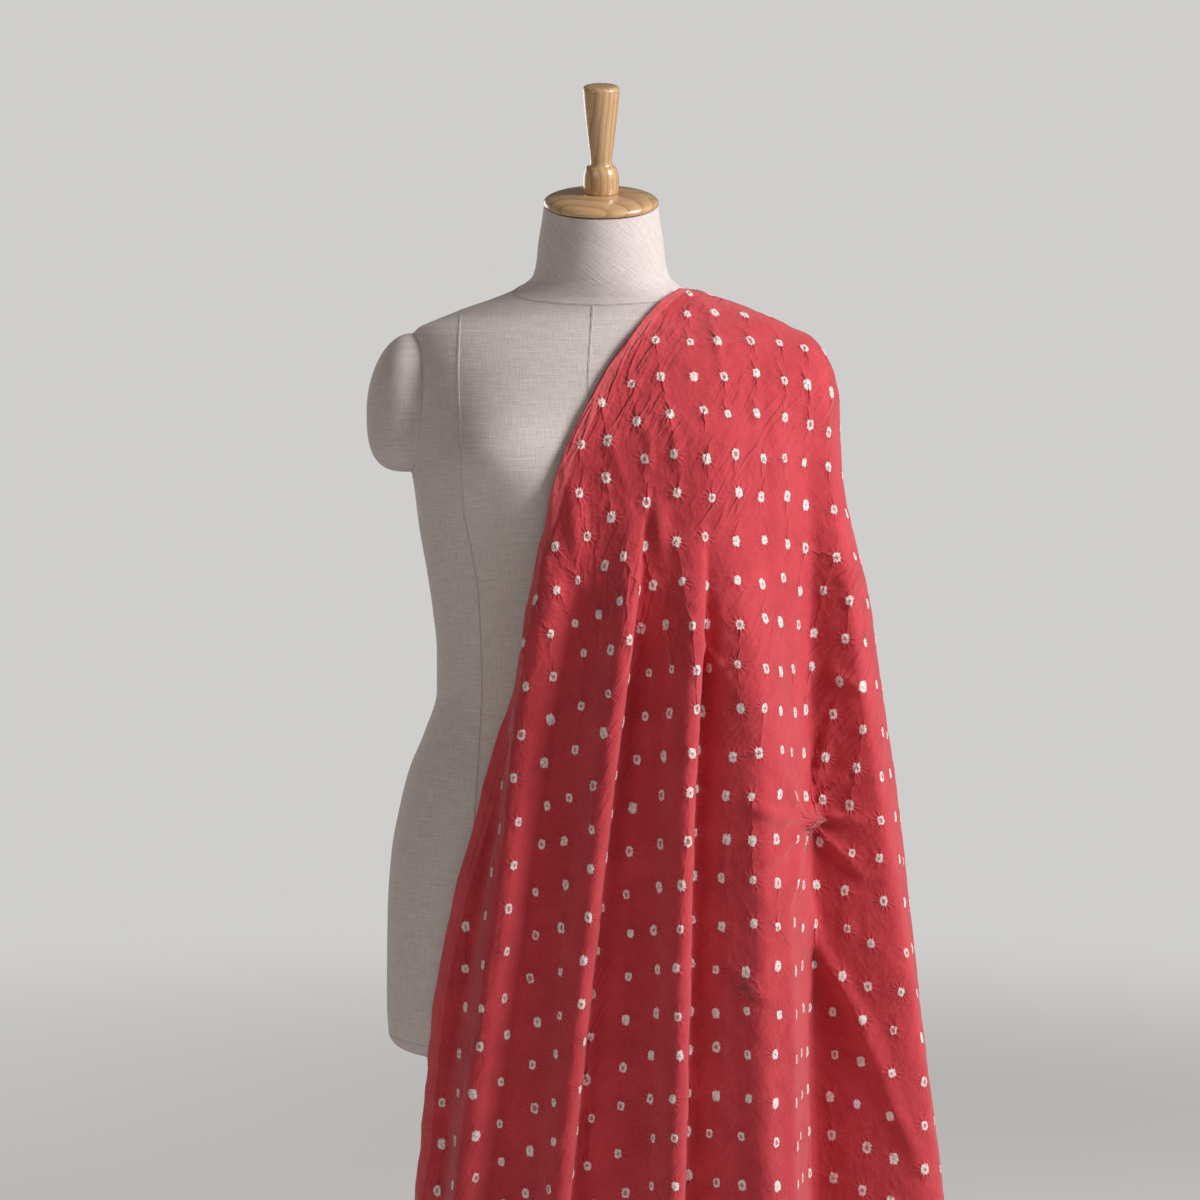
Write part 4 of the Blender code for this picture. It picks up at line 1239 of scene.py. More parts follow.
def tied_dot_group():
    """A tied dot: an uneven undyed ring, its dyed centre, its pucker and the creases that leave it."""
    tree, given, put = new_tree("tied_dots", "ShaderNodeTree", (
        ("Place", "NodeSocketVector", None), ("Luck", "NodeSocketVector", None),
        ("Crease", "NodeSocketVector", None), ("Cloth", "NodeSocketVector", None),
        ("Dot Width", "NodeSocketFloat", 0.0075), ("Dot Height", "NodeSocketFloat", 0.009),
        ("Crease Width", "NodeSocketFloat", 0.0017),
    ), (("Undyed", "NodeSocketFloat"), ("Pucker", "NodeSocketFloat")))
    away = parts_of(tree, given["Place"])
    other = node(tree, "ShaderNodeVectorMath", {0: given["Luck"], 1: (3.7, 7.9, 0)}, operation="ADD")
    luck, more = (
        channels_of(tree, node(tree, "ShaderNodeTexWhiteNoise", {"Vector": seed},
                               noise_dimensions="2D").outputs["Color"])
        for seed in (given["Luck"], other.outputs[0]))
    rough = node(tree, "ShaderNodeTexNoise", {"Vector": given["Cloth"], "Scale": 420.0,
                                              "Detail": 2.0, "Roughness": 0.65})
    rough = channels_of(tree, rough.outputs["Color"])
    turn = spread(tree, luck[2], 0.60)
    cosine, sine = calc(tree, "COSINE", turn), calc(tree, "SINE", turn)
    right = plus(tree, times(tree, away[0], cosine), times(tree, away[1], sine))
    up = minus(tree, times(tree, away[1], cosine), times(tree, away[0], sine))
    size = plus(tree, 0.84, times(tree, more[0], 0.32))
    shape = []
    for way, extent, uneven in ((right, "Dot Width", rough[0]), (up, "Dot Height", rough[1])):
        half = times(tree, times(tree, given[extent], 0.5), size)
        share = plus(tree, shares(tree, way, half), spread(tree, uneven, 0.85))
        shape.append(calc(tree, "POWER", calc(tree, "ABSOLUTE", share), DOT_SQUARENESS))
    reach = calc(tree, "POWER", plus(tree, shape[0], shape[1]), 1 / DOT_SQUARENESS)
    disc = ramp_between(tree, reach, 1.08, 0.88)
    centre = plus(tree, 0.05, times(tree, more[1], 0.48))
    hole = ramp_between(tree, minus(tree, reach, centre), 0.14, -0.10)
    threads = ramp_between(tree, rough[2], 0.36, 0.50, 0.50, 1.0)
    ring = times(tree, times(tree, disc, threads), minus(tree, 1.0, times(tree, hole, 0.80)))
    distance = radius_of(tree, away[0], away[1])
    angle = calc(tree, "ARCTAN2", away[0], away[1])
    peak = ramp_between(tree, distance, 0.0058, 0.0, 0.0, 1.0)
    count = calc(tree, "ROUND", plus(tree, 3.0, times(tree, more[2], 4.0)))
    spokes = calc(tree, "SINE", plus(tree, times(tree, angle, count), times(tree, more[1], 6.28)))
    spokes = calc(tree, "POWER", calc(tree, "ABSOLUTE", spokes), 3.0)
    collar = times(tree, ramp_between(tree, distance, 0.002, 0.005),
                   ramp_between(tree, distance, 0.0125, 0.0050))
    spokes = times(tree, spokes, collar)
    line = parts_of(tree, given["Crease"])
    sway = spread(tree, noise_at(tree, given["Cloth"], 75.0, 2.0), 0.0060)
    aside = calc(tree, "ABSOLUTE", plus(tree, line[0], sway))
    aside = shares(tree, aside, given["Crease Width"])
    fold = times(tree, ramp_between(tree, aside, 1.0, 0.0), line[1])
    wide = times(tree, ramp_between(tree, aside, 3.6, 0.0), line[1])
    fold = plus(tree, times(tree, fold, 0.0012), times(tree, wide, 0.0013))
    fold = times(tree, fold, ramp_between(tree, distance, 0.019, 0.005, 0.35, 1.0))
    pucker = plus(tree, times(tree, peak, 0.0005), times(tree, spokes, 0.0006))
    tree.links.new(ring, put.inputs["Undyed"])
    tree.links.new(plus(tree, pucker, fold), put.inputs["Pucker"])
    return tree


def star_group():
    """Creases that ray out from a place where a thread was drawn tight. The place is in metres."""
    tree, given, put = new_tree("drawn_star", "ShaderNodeTree", (
        ("Place", "NodeSocketVector", None), ("Reach", "NodeSocketFloat", 0.036),
    ), (("Height", "NodeSocketFloat"),))
    away = node(tree, "ShaderNodeVectorMath", {0: given["Place"]}, operation="LENGTH").outputs["Value"]
    way = node(tree, "ShaderNodeVectorMath", {0: given["Place"]}, operation="NORMALIZE").outputs[0]
    parts = parts_of(tree, way)
    at = vector_of(tree, parts[0], parts[1], times(tree, away, 14.0))
    rays = winding(tree, noise_at(tree, at, 2.9, 1.0, Roughness=0.4))
    rays = ramp_between(tree, rays, 0.075, 0.0)
    fade = times(tree, ramp_between(tree, away, given["Reach"], 0.004),
                 ramp_between(tree, away, 0.0, 0.004))
    height = times(tree, times(tree, rays, fade), 0.0026)
    hollow = times(tree, ramp_between(tree, away, 0.006, 0.0), -0.0016)
    tree.links.new(plus(tree, height, hollow), put.inputs["Height"])
    return tree


def grain_group():
    """Wood grain: rings cut by the surface, with short pores. The vector is in metres."""
    tree, given, put = new_tree("turned_wood_grain", "ShaderNodeTree", (
        ("Vector", "NodeSocketVector", None), ("Ring", "NodeSocketFloat", 0.006),
        ("Waver", "NodeSocketFloat", 0.004),
    ), (("Ring Tone", "NodeSocketFloat"), ("Pores", "NodeSocketFloat")))
    slow = node(tree, "ShaderNodeTexNoise", {"Vector": given["Vector"], "Scale": 26.0, "Detail": 2.0})
    bent = node(tree, "ShaderNodeVectorMath", {0: slow.outputs["Color"], 1: (0.5, 0.5, 0.5)},
                operation="SUBTRACT").outputs[0]
    bent = node(tree, "ShaderNodeVectorMath", {0: bent, "Scale": given["Waver"]}, operation="SCALE")
    at = node(tree, "ShaderNodeVectorMath", {0: given["Vector"], 1: bent.outputs[0]}, operation="ADD")
    parts = parts_of(tree, at.outputs[0])
    turns = shares(tree, radius_of(tree, parts[0], parts[1]), given["Ring"])
    saw = calc(tree, "FRACT", turns)
    ring = times(tree, calc(tree, "POWER", saw, 2.6), ramp_between(tree, saw, 1.0, 0.90))
    pores = noise_at(tree, moved_at(tree, given["Vector"], Scale=(1400, 1400, 90)), 1.0, 1.0)
    tree.links.new(ring, put.inputs["Ring Tone"])
    tree.links.new(ramp_between(tree, pores, 0.60, 0.72), put.inputs["Pores"])
    return tree


def shared_group(name, build):
    """The node group of that name, built once."""
    return bpy.data.node_groups.get(name) or build()


def group_in(tree, group, inputs):
    """Places a node group in a material."""
    return node(tree, "ShaderNodeGroup", inputs, node_tree=group).outputs


def new_finish(name, **values):
    """A material with its shader's own sockets set: (material, tree, shader).
    An underscore in a socket's name stands for a space."""
    made = bpy.data.materials.new(name)
    made.use_nodes = True
    shader = made.node_tree.nodes["Principled BSDF"]
    for title, value in values.items():
        shader.inputs[title.replace("_", " ")].default_value = value
    return made, made.node_tree, shader


def bump_from(tree, shader, height):
    """Lets a height in metres turn the shader's normal."""
    bump = node(tree, "ShaderNodeBump", {"Height": height, "Distance": 1.0, "Strength": 1.0})
    tree.links.new(bump.outputs[0], shader.inputs["Normal"])


def cotton_finish(values):
    """Dyed cotton: red ground, undyed dots, a paler selvedge, fine yarns and tying creases."""
    made, tree, shader = new_finish(
        "tie_dyed_cotton", Roughness=0.82, Specular_IOR_Level=0.24, Sheen_Weight=0.38,
        Sheen_Roughness=0.60, Sheen_Tint=(1.0, 0.62, 0.62, 1))
    flat = uv_map(tree, "flat_cloth")
    ties = {title: uv_map(tree, layer)
            for title, layer in (("Place", "tied_at"), ("Luck", "tie_luck"), ("Crease", "tie_crease"))}
    dots = group_in(tree, shared_group("tied_dots", tied_dot_group), {
        **ties, "Cloth": flat, "Dot Width": values.dot_width, "Dot Height": values.dot_height,
        "Crease Width": CREASE_WIDTH})
    yarns = group_in(tree, shared_group("uneven_yarns", yarn_group),
                     {"Vector": flat, "Yarn": COTTON_YARN, "Slub Length": COTTON_SLUB})
    star = group_in(tree, shared_group("drawn_star", star_group),
                    {"Place": uv_map(tree, "star_at"), "Reach": STAR_REACH})
    to_side = parts_of(tree, uv_map(tree, "to_edge"))[0]
    down = parts_of(tree, flat)[1]

    cloud = noise_at(tree, flat, 22.0, 3.0, Roughness=0.6)
    worn = tuple(values.dye_worn)
    ground = blend_colour(tree, ramp_between(tree, cloud, 0.30, 0.70), tuple(values.dye_deep),
                          tuple(values.dye))
    ground = blend_colour(tree, times(tree, yarns["Tone"], 0.22), ground, worn)
    band = times(tree, ramp_between(tree, to_side, values.selvedge * 1.08, values.selvedge * 0.92),
                 ramp_between(tree, down, 0.42, 0.05, 0.60, 0.78))
    ground = blend_colour(tree, band, ground, worn)
    colour = blend_colour(tree, dots["Undyed"], ground, tuple(values.undyed))
    tree.links.new(colour, shader.inputs["Base Color"])

    crush = noise_at(tree, moved_at(tree, flat, Scale=(46, 30, 1)), 1.0, 3.0, Roughness=0.55)
    crushed = times(tree, winding(tree, crush),
                    ramp_between(tree, to_side, 0.085, 0.030, -0.0032, -0.0058))
    slanted = moved_at(tree, flat, "TEXTURE", Rotation=(0, 0, PULL_SLANT), Scale=(*PULL_SIZE, 1))
    pulled = winding(tree, noise_at(tree, slanted, 1.0, 2.0, Roughness=0.5))
    pull = times(tree, ramp_between(tree, noise_at(tree, flat, 9.0, 1.0), 0.40, 0.62),
                 ramp_between(tree, down, 0.50, 0.12, 0.25, 1.0))
    pulled = times(tree, ramp_between(tree, pulled, 0.11, 0.0), times(tree, pull, 0.0015))
    turned = ramp_between(tree, to_side, HEM_TURN * 0.94, HEM_TURN * 1.02, 0.0003, 0.0)
    height = dots["Pucker"]
    for part in (crushed, pulled, star["Height"], times(tree, yarns["Height"], 0.00012), turned):
        height = plus(tree, height, part)
    bump_from(tree, shader, height)
    return made


def linen_finish(values):
    """Natural linen: uneven yarns both ways, pale slubs and a few dark specks."""
    made, tree, shader = new_finish(
        "slub_linen", Roughness=0.9, Specular_IOR_Level=0.2, Sheen_Weight=0.10)
    flat = uv_map(tree, "flat_cover")
    yarns = group_in(tree, shared_group("uneven_yarns", yarn_group),
                     {"Vector": flat, "Yarn": values.yarn, "Slub Length": LINEN_SLUB})
    ground = blend_colour(tree, yarns["Tone"], tuple(values.linen_shade), tuple(values.linen))
    ground = blend_colour(tree, times(tree, yarns["Slub"], 0.45), ground, tuple(values.linen_slub))
    specks = node(tree, "ShaderNodeTexVoronoi", {"Vector": flat, "Scale": 26.0}).outputs["Distance"]
    ground = blend_colour(tree, ramp_between(tree, specks, 0.030, 0.016, 0.0, 0.55), ground,
                          LINEN_SPECK)
    tree.links.new(ground, shader.inputs["Base Color"])
    bump_from(tree, shader, plus(tree, times(tree, yarns["Height"], 0.00040),
                                 times(tree, yarns["Slub"], 0.00016)))
    return made


def wood_finish(values, name, centre, turn, ring, waver):
    """Varnished light wood. centre and turn place the grain's axis in the piece."""
    made, tree, shader = new_finish(name, Roughness=0.38, Coat_Weight=0.9, Coat_Roughness=0.08)
    place = node(tree, "ShaderNodeTexCoord").outputs["Object"]
    moved = moved_at(tree, place, "TEXTURE", Location=centre, Rotation=turn)
    grain = group_in(tree, shared_group("turned_wood_grain", grain_group),
                     {"Vector": moved, "Ring": ring, "Waver": waver})
    dark = tuple(values.wood_dark)
    tone = blend_colour(tree, times(tree, grain["Ring Tone"], 0.85), tuple(values.wood_light), dark)
    tone = blend_colour(tree, times(tree, grain["Pores"], 0.35), tone, dark)
    tree.links.new(tone, shader.inputs["Base Color"])
    bump_from(tree, shader, times(tree, grain["Pores"], -0.00008))
    return made


def steel_finish():
    """Drawn steel tube, polished along its length."""
    made, tree, shader = new_finish("drawn_steel", Metallic=1.0)
    place = node(tree, "ShaderNodeTexCoord").outputs["Object"]
    lines = noise_at(tree, moved_at(tree, place, Scale=(900, 900, 8)), 1.0, 2.0)
    tree.links.new(ramp_between(tree, lines, 0.3, 0.7, 0.22, 0.42), shader.inputs["Roughness"])
    cloud = noise_at(tree, place, 30.0, 2.0)
    tree.links.new(blend_colour(tree, cloud, (0.46, 0.46, 0.47), (0.62, 0.62, 0.62)),
                   shader.inputs["Base Color"])
    bump_from(tree, shader, times(tree, lines, 0.00003))
    return made


def floor_finish(values):
    """Matt pale paper that fades into the room a few metres away."""
    made, tree, shader = new_finish("pale_paper", Base_Color=(*values.paper, 1), Roughness=0.95,
                                    Specular_IOR_Level=0.1)
    place = node(tree, "ShaderNodeTexCoord").outputs["Object"]
    away = node(tree, "ShaderNodeVectorMath", {0: place}, operation="LENGTH").outputs["Value"]
    tree.links.new(ramp_between(tree, away, *FLOOR_FADE, 1.0, 0.0), shader.inputs["Alpha"])
    return made


def seam_tree():
    """Two folded lips along each seam line, drawn together by small stitches across it."""
    tree, given, put = new_tree("drawn_seam", "GeometryNodeTree", (
        ("Geometry", "NodeSocketGeometry", None), ("Lip Radius", "NodeSocketFloat", 0.0004),
        ("Lip Gap", "NodeSocketFloat", 0.0005), ("Stitch Spacing", "NodeSocketFloat", 0.0045),
        ("Stitch Length", "NodeSocketFloat", 0.0014), ("Stitch Thickness", "NodeSocketFloat", 0.0003),
        ("Linen", "NodeSocketMaterial", None),
    ), (("Geometry", "NodeSocketGeometry"),))
    line = node(tree, "GeometryNodeMeshToCurve", {"Mesh": given["Geometry"]}).outputs[0]
    across = node(tree, "GeometryNodeInputNamedAttribute", {"Name": "across"}, data_type="FLOAT_VECTOR")
    across = across.outputs[0]
    lips = node(tree, "GeometryNodeJoinGeometry")
    for way in (1.0, -1.0):
        gap = times(tree, given["Lip Gap"], way)
        shift = node(tree, "ShaderNodeVectorMath", {0: across, "Scale": gap}, operation="SCALE")
        moved = node(tree, "GeometryNodeSetPosition", {"Geometry": line, "Offset": shift.outputs[0]})
        tree.links.new(moved.outputs[0], lips.inputs[0])
    wire = node(tree, "GeometryNodeCurvePrimitiveCircle", {"Resolution": 6, "Radius": given["Lip Radius"]})
    swept = node(tree, "GeometryNodeCurveToMesh", {
        "Curve": lips.outputs[0], "Profile Curve": wire.outputs[0], "Fill Caps": True})
    spaced = node(tree, "GeometryNodeResampleCurve", {"Curve": line, "Length": given["Stitch Spacing"]},
                  mode="LENGTH")
    half = times(tree, given["Stitch Length"], 0.5)
    thin = times(tree, given["Stitch Thickness"], 0.5)
    bead = node(tree, "GeometryNodeMeshUVSphere", {"Segments": 6, "Rings": 4, "Radius": 1.0})
    turned = node(tree, "FunctionNodeAlignRotationToVector", {"Vector": across}, axis="X")
    rows = node(tree, "GeometryNodeInstanceOnPoints", {
        "Points": spaced.outputs[0], "Instance": bead.outputs[0], "Rotation": turned.outputs[0],
        "Scale": vector_of(tree, half, thin, thin)})
    real = node(tree, "GeometryNodeRealizeInstances", {"Geometry": rows.outputs[0]})
    joined = node(tree, "GeometryNodeJoinGeometry")
    tree.links.new(real.outputs[0], joined.inputs[0])
    tree.links.new(swept.outputs[0], joined.inputs[0])
    finish = node(tree, "GeometryNodeSetMaterial", {"Geometry": joined.outputs[0],
                                                    "Material": given["Linen"]})
    tree.links.new(finish.outputs[0], put.inputs[0])
    return tree


def through_tree(source, tree, values):
    """Runs a mesh through a geometry node tree and gives back the plain mesh."""
    holder = bpy.data.objects.new("holder", source)
    bpy.context.scene.collection.objects.link(holder)
    modifier = holder.modifiers.new("tree", "NODES")
    modifier.node_group = tree
    for item in tree.interface.items_tree:
        if item.item_type == "SOCKET" and item.in_out == "INPUT" and item.name in values:
            modifier[item.identifier] = values[item.name]
    ready = holder.evaluated_get(bpy.context.evaluated_depsgraph_get())
    mesh = bpy.data.meshes.new_from_object(ready)
    bpy.data.objects.remove(holder)
    return mesh


class ClothValues(bpy.types.PropertyGroup):
    """Sizes and colours of the tie-dyed cloth."""

    dot_spacing_across: FloatProperty(
        name="Dots Across", description="Distance between dots along a row", default=0.0285,
        min=0.01, max=0.10, unit="LENGTH")
    dot_spacing_down: FloatProperty(
        name="Dots Down", description="Distance between rows of dots", default=0.0380,
        min=0.01, max=0.10, unit="LENGTH")
    dot_width: FloatProperty(
        name="Dot Width", description="Width of one tied dot", default=0.0067,
        min=0.002, max=0.02, unit="LENGTH")
    dot_height: FloatProperty(
        name="Dot Height", description="Height of one tied dot", default=0.0088,
        min=0.002, max=0.02, unit="LENGTH")
    dot_jitter: FloatProperty(
        name="Dot Jitter", description="How far a dot may lie from its place in the lattice",
        default=0.0060, min=0.0, max=0.02, unit="LENGTH")
    selvedge: FloatProperty(
        name="Selvedge", description="Width of the paler woven edge", default=0.0125,
        min=0.0, max=0.05, unit="LENGTH")
    thickness: FloatProperty(
        name="Thickness", description="Thickness of the cotton sheet", default=SHEET_THICKNESS,
        min=0.0003, max=0.004, unit="LENGTH")
    dye: FloatVectorProperty(
        name="Dye", description="Coral red of the dyed ground", default=(0.54, 0.031, 0.047),
        subtype="COLOR", min=0, max=1)
    dye_deep: FloatVectorProperty(
        name="Deep Dye", description="Ground where more dye was taken up", default=(0.45, 0.019, 0.032),
        subtype="COLOR", min=0, max=1)
    dye_worn: FloatVectorProperty(
        name="Pale Dye", description="Paler thread and selvedge", default=(0.66, 0.094, 0.107),
        subtype="COLOR", min=0, max=1)
    undyed: FloatVectorProperty(
        name="Undyed", description="Cotton kept white by the tying", default=(0.83, 0.76, 0.72),
        subtype="COLOR", min=0, max=1)


class FormValues(bpy.types.PropertyGroup):
    """Sizes and colours of the linen cover."""

    yarn: FloatProperty(
        name="Yarn", description="Width of one linen yarn", default=0.0010,
        min=0.0003, max=0.004, unit="LENGTH")
    lip_radius: FloatProperty(
        name="Seam Lip", description="Radius of the folded lip beside a seam", default=0.0004,
        min=0.0001, max=0.002, unit="LENGTH")
    stitch_spacing: FloatProperty(
        name="Stitch Spacing", description="Distance between two stitches of a seam", default=0.0045,
        min=0.001, max=0.02, unit="LENGTH")
    linen: FloatVectorProperty(
        name="Linen", description="Pale grey-beige of the linen", default=(0.70, 0.63, 0.61),
        subtype="COLOR", min=0, max=1)
    linen_shade: FloatVectorProperty(
        name="Linen Shade", description="Darker yarns of the linen", default=(0.59, 0.525, 0.50),
        subtype="COLOR", min=0, max=1)
    linen_slub: FloatVectorProperty(
        name="Linen Slub", description="Pale thick places in the yarn", default=(0.76, 0.71, 0.69),
        subtype="COLOR", min=0, max=1)


class WoodValues(bpy.types.PropertyGroup):
    """Colours of the turned wood."""

    wood_light: FloatVectorProperty(
        name="Light Wood", description="Early wood", default=(0.66, 0.42, 0.215),
        subtype="COLOR", min=0, max=1)
    wood_dark: FloatVectorProperty(
        name="Dark Wood", description="Late wood and pores", default=(0.36, 0.17, 0.065),
        subtype="COLOR", min=0, max=1)
    sides: IntProperty(
        name="Sides", description="Sides of a turned piece", default=112, min=24, max=256)


class StageValues(bpy.types.PropertyGroup):
    """Floor, room and lights."""

    paper: FloatVectorProperty(
        name="Paper", description="Pale floor and room", default=(0.80, 0.79, 0.78),
        subtype="COLOR", min=0, max=1)
    key_power: FloatProperty(
        name="Key Light", description="Power of the main light in watts", default=75.0, min=0, max=2000)
    fill_power: FloatProperty(
        name="Fill Light", description="Power of the fill light in watts", default=15.5, min=0, max=1000)
    back_power: FloatProperty(
        name="Back Light", description="Power of the light behind the form in watts", default=16.0,
        min=0, max=1000)
    ambient: FloatProperty(
        name="Ambient", description="Strength of the surrounding light", default=0.10, min=0, max=3)


class TIEDCLOTH_OT_cloth(bpy.types.Operator):
    """Builds the folded, dotted sheet over the shoulder"""

    bl_idname = "tied_cloth.cloth"
    bl_label = "Tie-Dyed Cloth"

    def execute(self, context):
        values = context.scene.tied_cloth
        finish = cotton_finish(values)
        cloth = add_piece("tie_dyed_sheet", cloth_mesh("tie_dyed_sheet", values), finish, "dyed_cotton",
                          "bandhani_cloth", smooth=math.radians(80))
        thick = cloth.modifiers.new("thickness", "SOLIDIFY")
        thick.thickness = values.thickness
        thick.offset = -1
        thick.use_even_offset = False
        return {"FINISHED"}


class TIEDCLOTH_OT_cover(bpy.types.Operator):
    """Builds the linen cover of the torso and the padded arm caps"""

    bl_idname = "tied_cloth.cover"
    bl_label = "Linen Form"

    def execute(self, context):
        values = context.scene.tied_form
        finish = linen_finish(values)
        add_piece("torso_cover", cover_mesh("torso_cover"), finish, "linen", "form_torso")
        for name, side in (("left", 1), ("right", -1)):
            cap = add_piece(f"arm_cap_cover_{name}", cap_mesh(f"arm_cap_cover_{name}", side), finish,
                            "linen", f"arm_cap_{name}")
            if side < 0:
                cap.data.flip_normals()
        return {"FINISHED"}


class TIEDCLOTH_OT_seams(bpy.types.Operator):
    """Sews the seams of the linen cover"""

    bl_idname = "tied_cloth.seams"
    bl_label = "Seams"

    def execute(self, context):
        values = context.scene.tied_form
        lines = {
            "neck_seam": [neck_seam()],
            "rim_seam": [rim_seam(RIM_SEAM_HEIGHT)],
            "centre_seams": [upright_seam(CENTRE_SEAM, True, 1), upright_seam(CENTRE_SEAM, False, 1)],
            "princess_seams": [
                upright_seam(table, front, side)
                for table, front in ((FRONT_PRINCESS_SEAM, True), (BACK_PRINCESS_SEAM, False))
                for side in (1, -1)],
            "armhole_seams": [armhole_seam(1), armhole_seam(-1)],
        }
        tree = seam_tree()
        linen = bpy.data.materials["slub_linen"]
        for name, paths in lines.items():
            points = np.concatenate([path[0] for path in paths])
            across = np.concatenate([path[1] for path in paths])
            edges, first = [], 0
            for path in paths:
                edges += [(a + first, b + first) for a, b in path[2]]
                first += len(path[0])
            source = bpy.data.meshes.new(name + "_line")
            source.from_pydata(points.tolist(), edges, [])
            layer = source.attributes.new("across", "FLOAT_VECTOR", "POINT")
            layer.data.foreach_set("vector", across.astype(np.float32).ravel())
            mesh = through_tree(source, tree, {"Lip Radius": values.lip_radius, "Linen": linen,
                                               "Stitch Spacing": values.stitch_spacing})
            mesh.name = name
            index = corner_points(mesh)
            place = np.zeros(len(mesh.vertices) * 3, np.float32)
            mesh.vertices.foreach_get("co", place)
            set_uv(mesh, "flat_cover", place.reshape(-1, 3)[:, [0, 2]][index])
            add_piece(name, mesh, linen, "linen")
        return {"FINISHED"}


class TIEDCLOTH_OT_wood(bpy.types.Operator):
    """Turns the neck cap and the finial"""

    bl_idname = "tied_cloth.wood"
    bl_label = "Turned Wood"

    def execute(self, context):
        values = context.scene.tied_wood
        tilt = Matrix.Rotation(NECK_TILT, 4, "X")
        place = Matrix.Translation(Vector(NECK_TOP)) @ tilt
        low = place @ Vector((0.004, 0.0, -0.028))
        disc = wood_finish(values, "neck_cap_wood", tuple(low), (NECK_TILT, math.radians(90), 0.06),
                           0.0085, 0.010)
        axis = place @ Vector((0.030, 0.010, 0.0))
        knob = wood_finish(values, "finial_wood", tuple(axis), (NECK_TILT, 0.03, 0), 0.0052, 0.003)
        cap = turned_mesh("neck_cap_turned", (NECK_CAP_PROFILE[:-1], NECK_CAP_PROFILE[-2:]), 0.0016,
                          values.sides, place)
        add_piece("neck_cap_turned", cap, disc, "light_wood", "neck_cap")
        finial = turned_mesh(
            "finial_turned", (FINIAL_PROFILE[:4], FINIAL_PROFILE[3:10], FINIAL_PROFILE[9:17],
                              FINIAL_PROFILE[16:]), 0.0011, values.sides, place)
        add_piece("finial_turned", finial, knob, "light_wood", "finial")
        return {"FINISHED"}


class TIEDCLOTH_OT_stand(bpy.types.Operator):
    """Builds the turned base and finishes the steel pole"""

    bl_idname = "tied_cloth.stand"
    bl_label = "Stand"

    def execute(self, context):
        values = context.scene.tied_wood
        finish = wood_finish(values, "base_wood", (0.0, 0.08, -0.10), (0, math.radians(90), 0),
                             0.016, 0.030)
        base = turned_mesh("stand_base_turned", (BASE_PROFILE[:3], BASE_PROFILE[2:4], BASE_PROFILE[3:12],
                                                 BASE_PROFILE[11:]), 0.004, values.sides)
        add_piece("stand_base_turned", base, finish, "light_wood", "stand_base")
        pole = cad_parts["stand_pole"]
        pole.data.materials.clear()
        pole.data.materials.append(steel_finish())
        return {"FINISHED"}


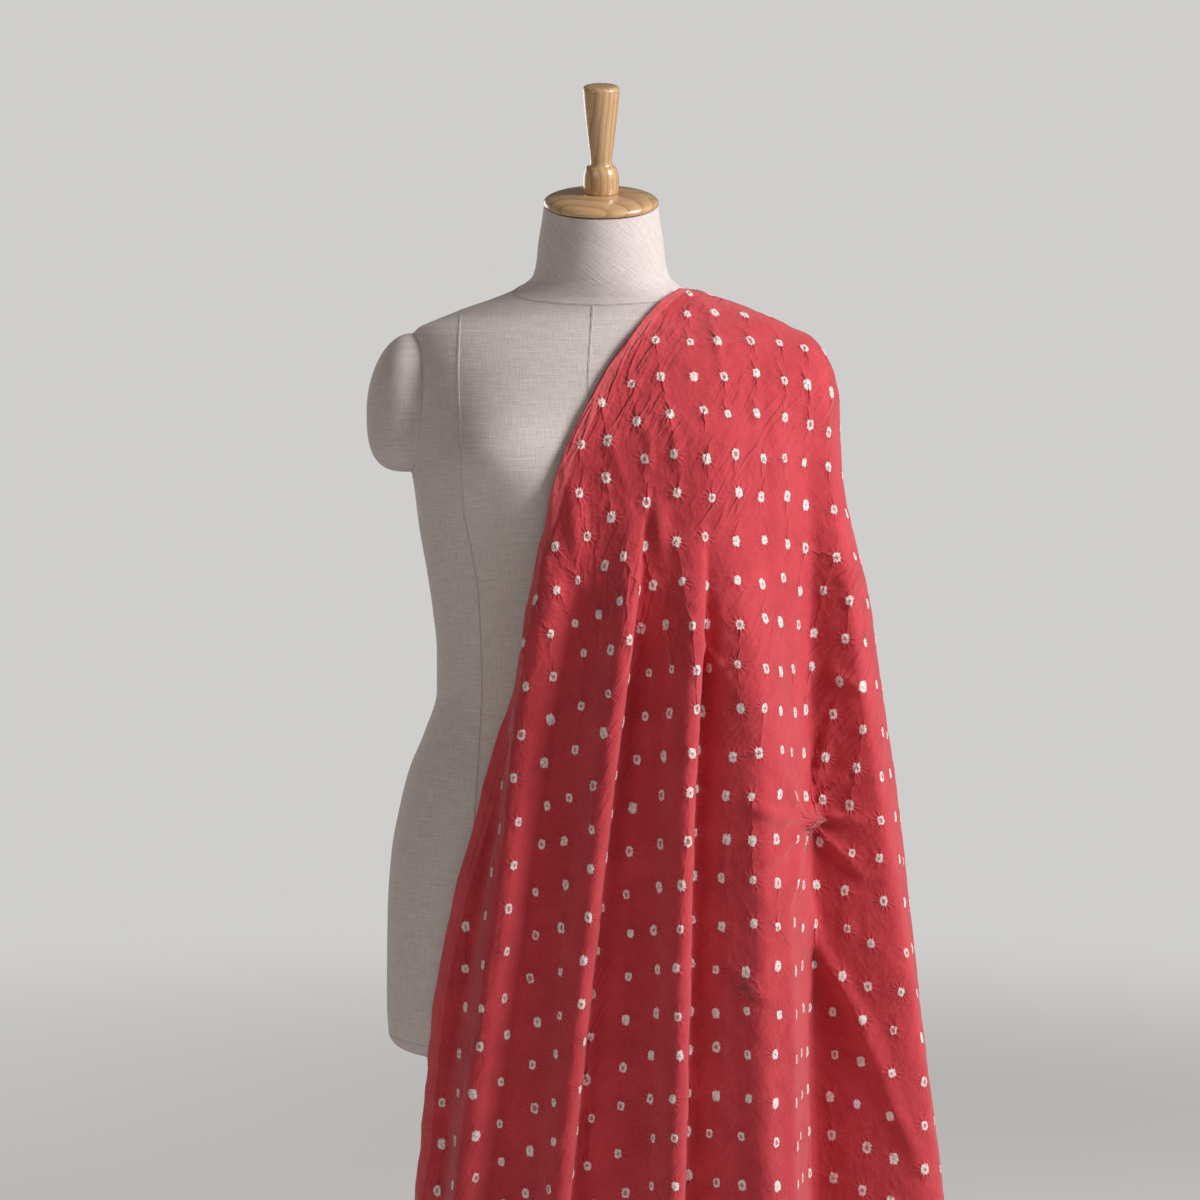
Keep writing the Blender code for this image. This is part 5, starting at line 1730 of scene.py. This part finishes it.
class TIEDCLOTH_OT_stage(bpy.types.Operator):
    """Sets the pale floor and room, the lights and the camera"""

    bl_idname = "tied_cloth.stage"
    bl_label = "Stage"

    def execute(self, context):
        values = context.scene.tied_stage
        turns = [2 * math.pi * k / FLOOR_SIDES for k in range(FLOOR_SIDES)]
        reach = FLOOR_FADE[1]
        points = [(reach * math.cos(turn), reach * math.sin(turn), 0.0) for turn in turns]
        mesh = plain_mesh("paper_floor", points, [tuple(range(FLOOR_SIDES))])
        mesh.materials.append(floor_finish(values))
        paper = bpy.data.objects.new("paper_floor", mesh)
        context.scene.collection.objects.link(paper)
        for name, place, aim, size, power, tint in LIGHTS:
            lamp = bpy.data.lights.new(name, "AREA")
            lamp.shape = "RECTANGLE"
            lamp.size, lamp.size_y = size
            lamp.energy = getattr(values, power + "_power")
            lamp.color = tint
            light = bpy.data.objects.new(name, lamp)
            light.location = place
            light.rotation_euler = (Vector(aim) - Vector(place)).to_track_quat("-Z", "Y").to_euler()
            context.scene.collection.objects.link(light)
        context.scene.view_settings.view_transform = "Standard"
        world = context.scene.world or bpy.data.worlds.new("soft_room")
        context.scene.world = world
        world.use_nodes = True
        tree = world.node_tree
        room = tree.nodes["Background"]
        room.inputs["Color"].default_value = (1.0, 0.94, 0.90, 1)
        room.inputs["Strength"].default_value = values.ambient
        seen = node(tree, "ShaderNodeBackground", {"Color": (*values.paper, 1),
                                                    "Strength": BACKGROUND_STRENGTH})
        ray = node(tree, "ShaderNodeLightPath")
        both = node(tree, "ShaderNodeMixShader", {0: ray.outputs["Is Camera Ray"], 1: room.outputs[0],
                                                  2: seen.outputs[0]})
        tree.links.new(both.outputs[0], tree.nodes["World Output"].inputs["Surface"])
        camera = bpy.data.cameras.new("photo_view")
        camera.lens, camera.sensor_width = CAMERA_LENS, 36.0
        viewer = bpy.data.objects.new("photo_view", camera)
        viewer.location = CAMERA_PLACE
        viewer.rotation_euler = (math.radians(90 - CAMERA_PITCH), 0, 0)
        context.scene.collection.objects.link(viewer)
        context.scene.camera = viewer
        return {"FINISHED"}


OPERATORS = (TIEDCLOTH_OT_stage, TIEDCLOTH_OT_cover, TIEDCLOTH_OT_seams, TIEDCLOTH_OT_wood,
             TIEDCLOTH_OT_stand, TIEDCLOTH_OT_cloth)
GROUPS = ((ClothValues, "tied_cloth"), (FormValues, "tied_form"), (WoodValues, "tied_wood"),
          (StageValues, "tied_stage"))


class TIEDCLOTH_PT_panel(bpy.types.Panel):
    """Lists the pieces and their values"""

    bl_idname = "TIEDCLOTH_PT_panel"
    bl_label = "Tied Cloth"
    bl_space_type = "VIEW_3D"
    bl_region_type = "UI"
    bl_category = "Tied Cloth"

    def draw(self, context):
        for operator in OPERATORS:
            self.layout.operator(operator.bl_idname)
        for group, name in GROUPS:
            box = self.layout.box()
            for key in group.__annotations__:
                box.prop(getattr(context.scene, name), key)


def register():
    for group, name in GROUPS:
        bpy.utils.register_class(group)
        setattr(bpy.types.Scene, name, PointerProperty(type=group))
    for made in OPERATORS + (TIEDCLOTH_PT_panel,):
        bpy.utils.register_class(made)


def unregister():
    for made in reversed(OPERATORS + (TIEDCLOTH_PT_panel,)):
        bpy.utils.unregister_class(made)
    for group, name in reversed(GROUPS):
        delattr(bpy.types.Scene, name)
        bpy.utils.unregister_class(group)


def main():
    """Builds every piece."""
    register()
    bpy.ops.tied_cloth.stage()
    bpy.ops.tied_cloth.cover()
    bpy.ops.tied_cloth.seams()
    bpy.ops.tied_cloth.wood()
    bpy.ops.tied_cloth.stand()
    bpy.ops.tied_cloth.cloth()


if __name__ == "__main__":
    main()
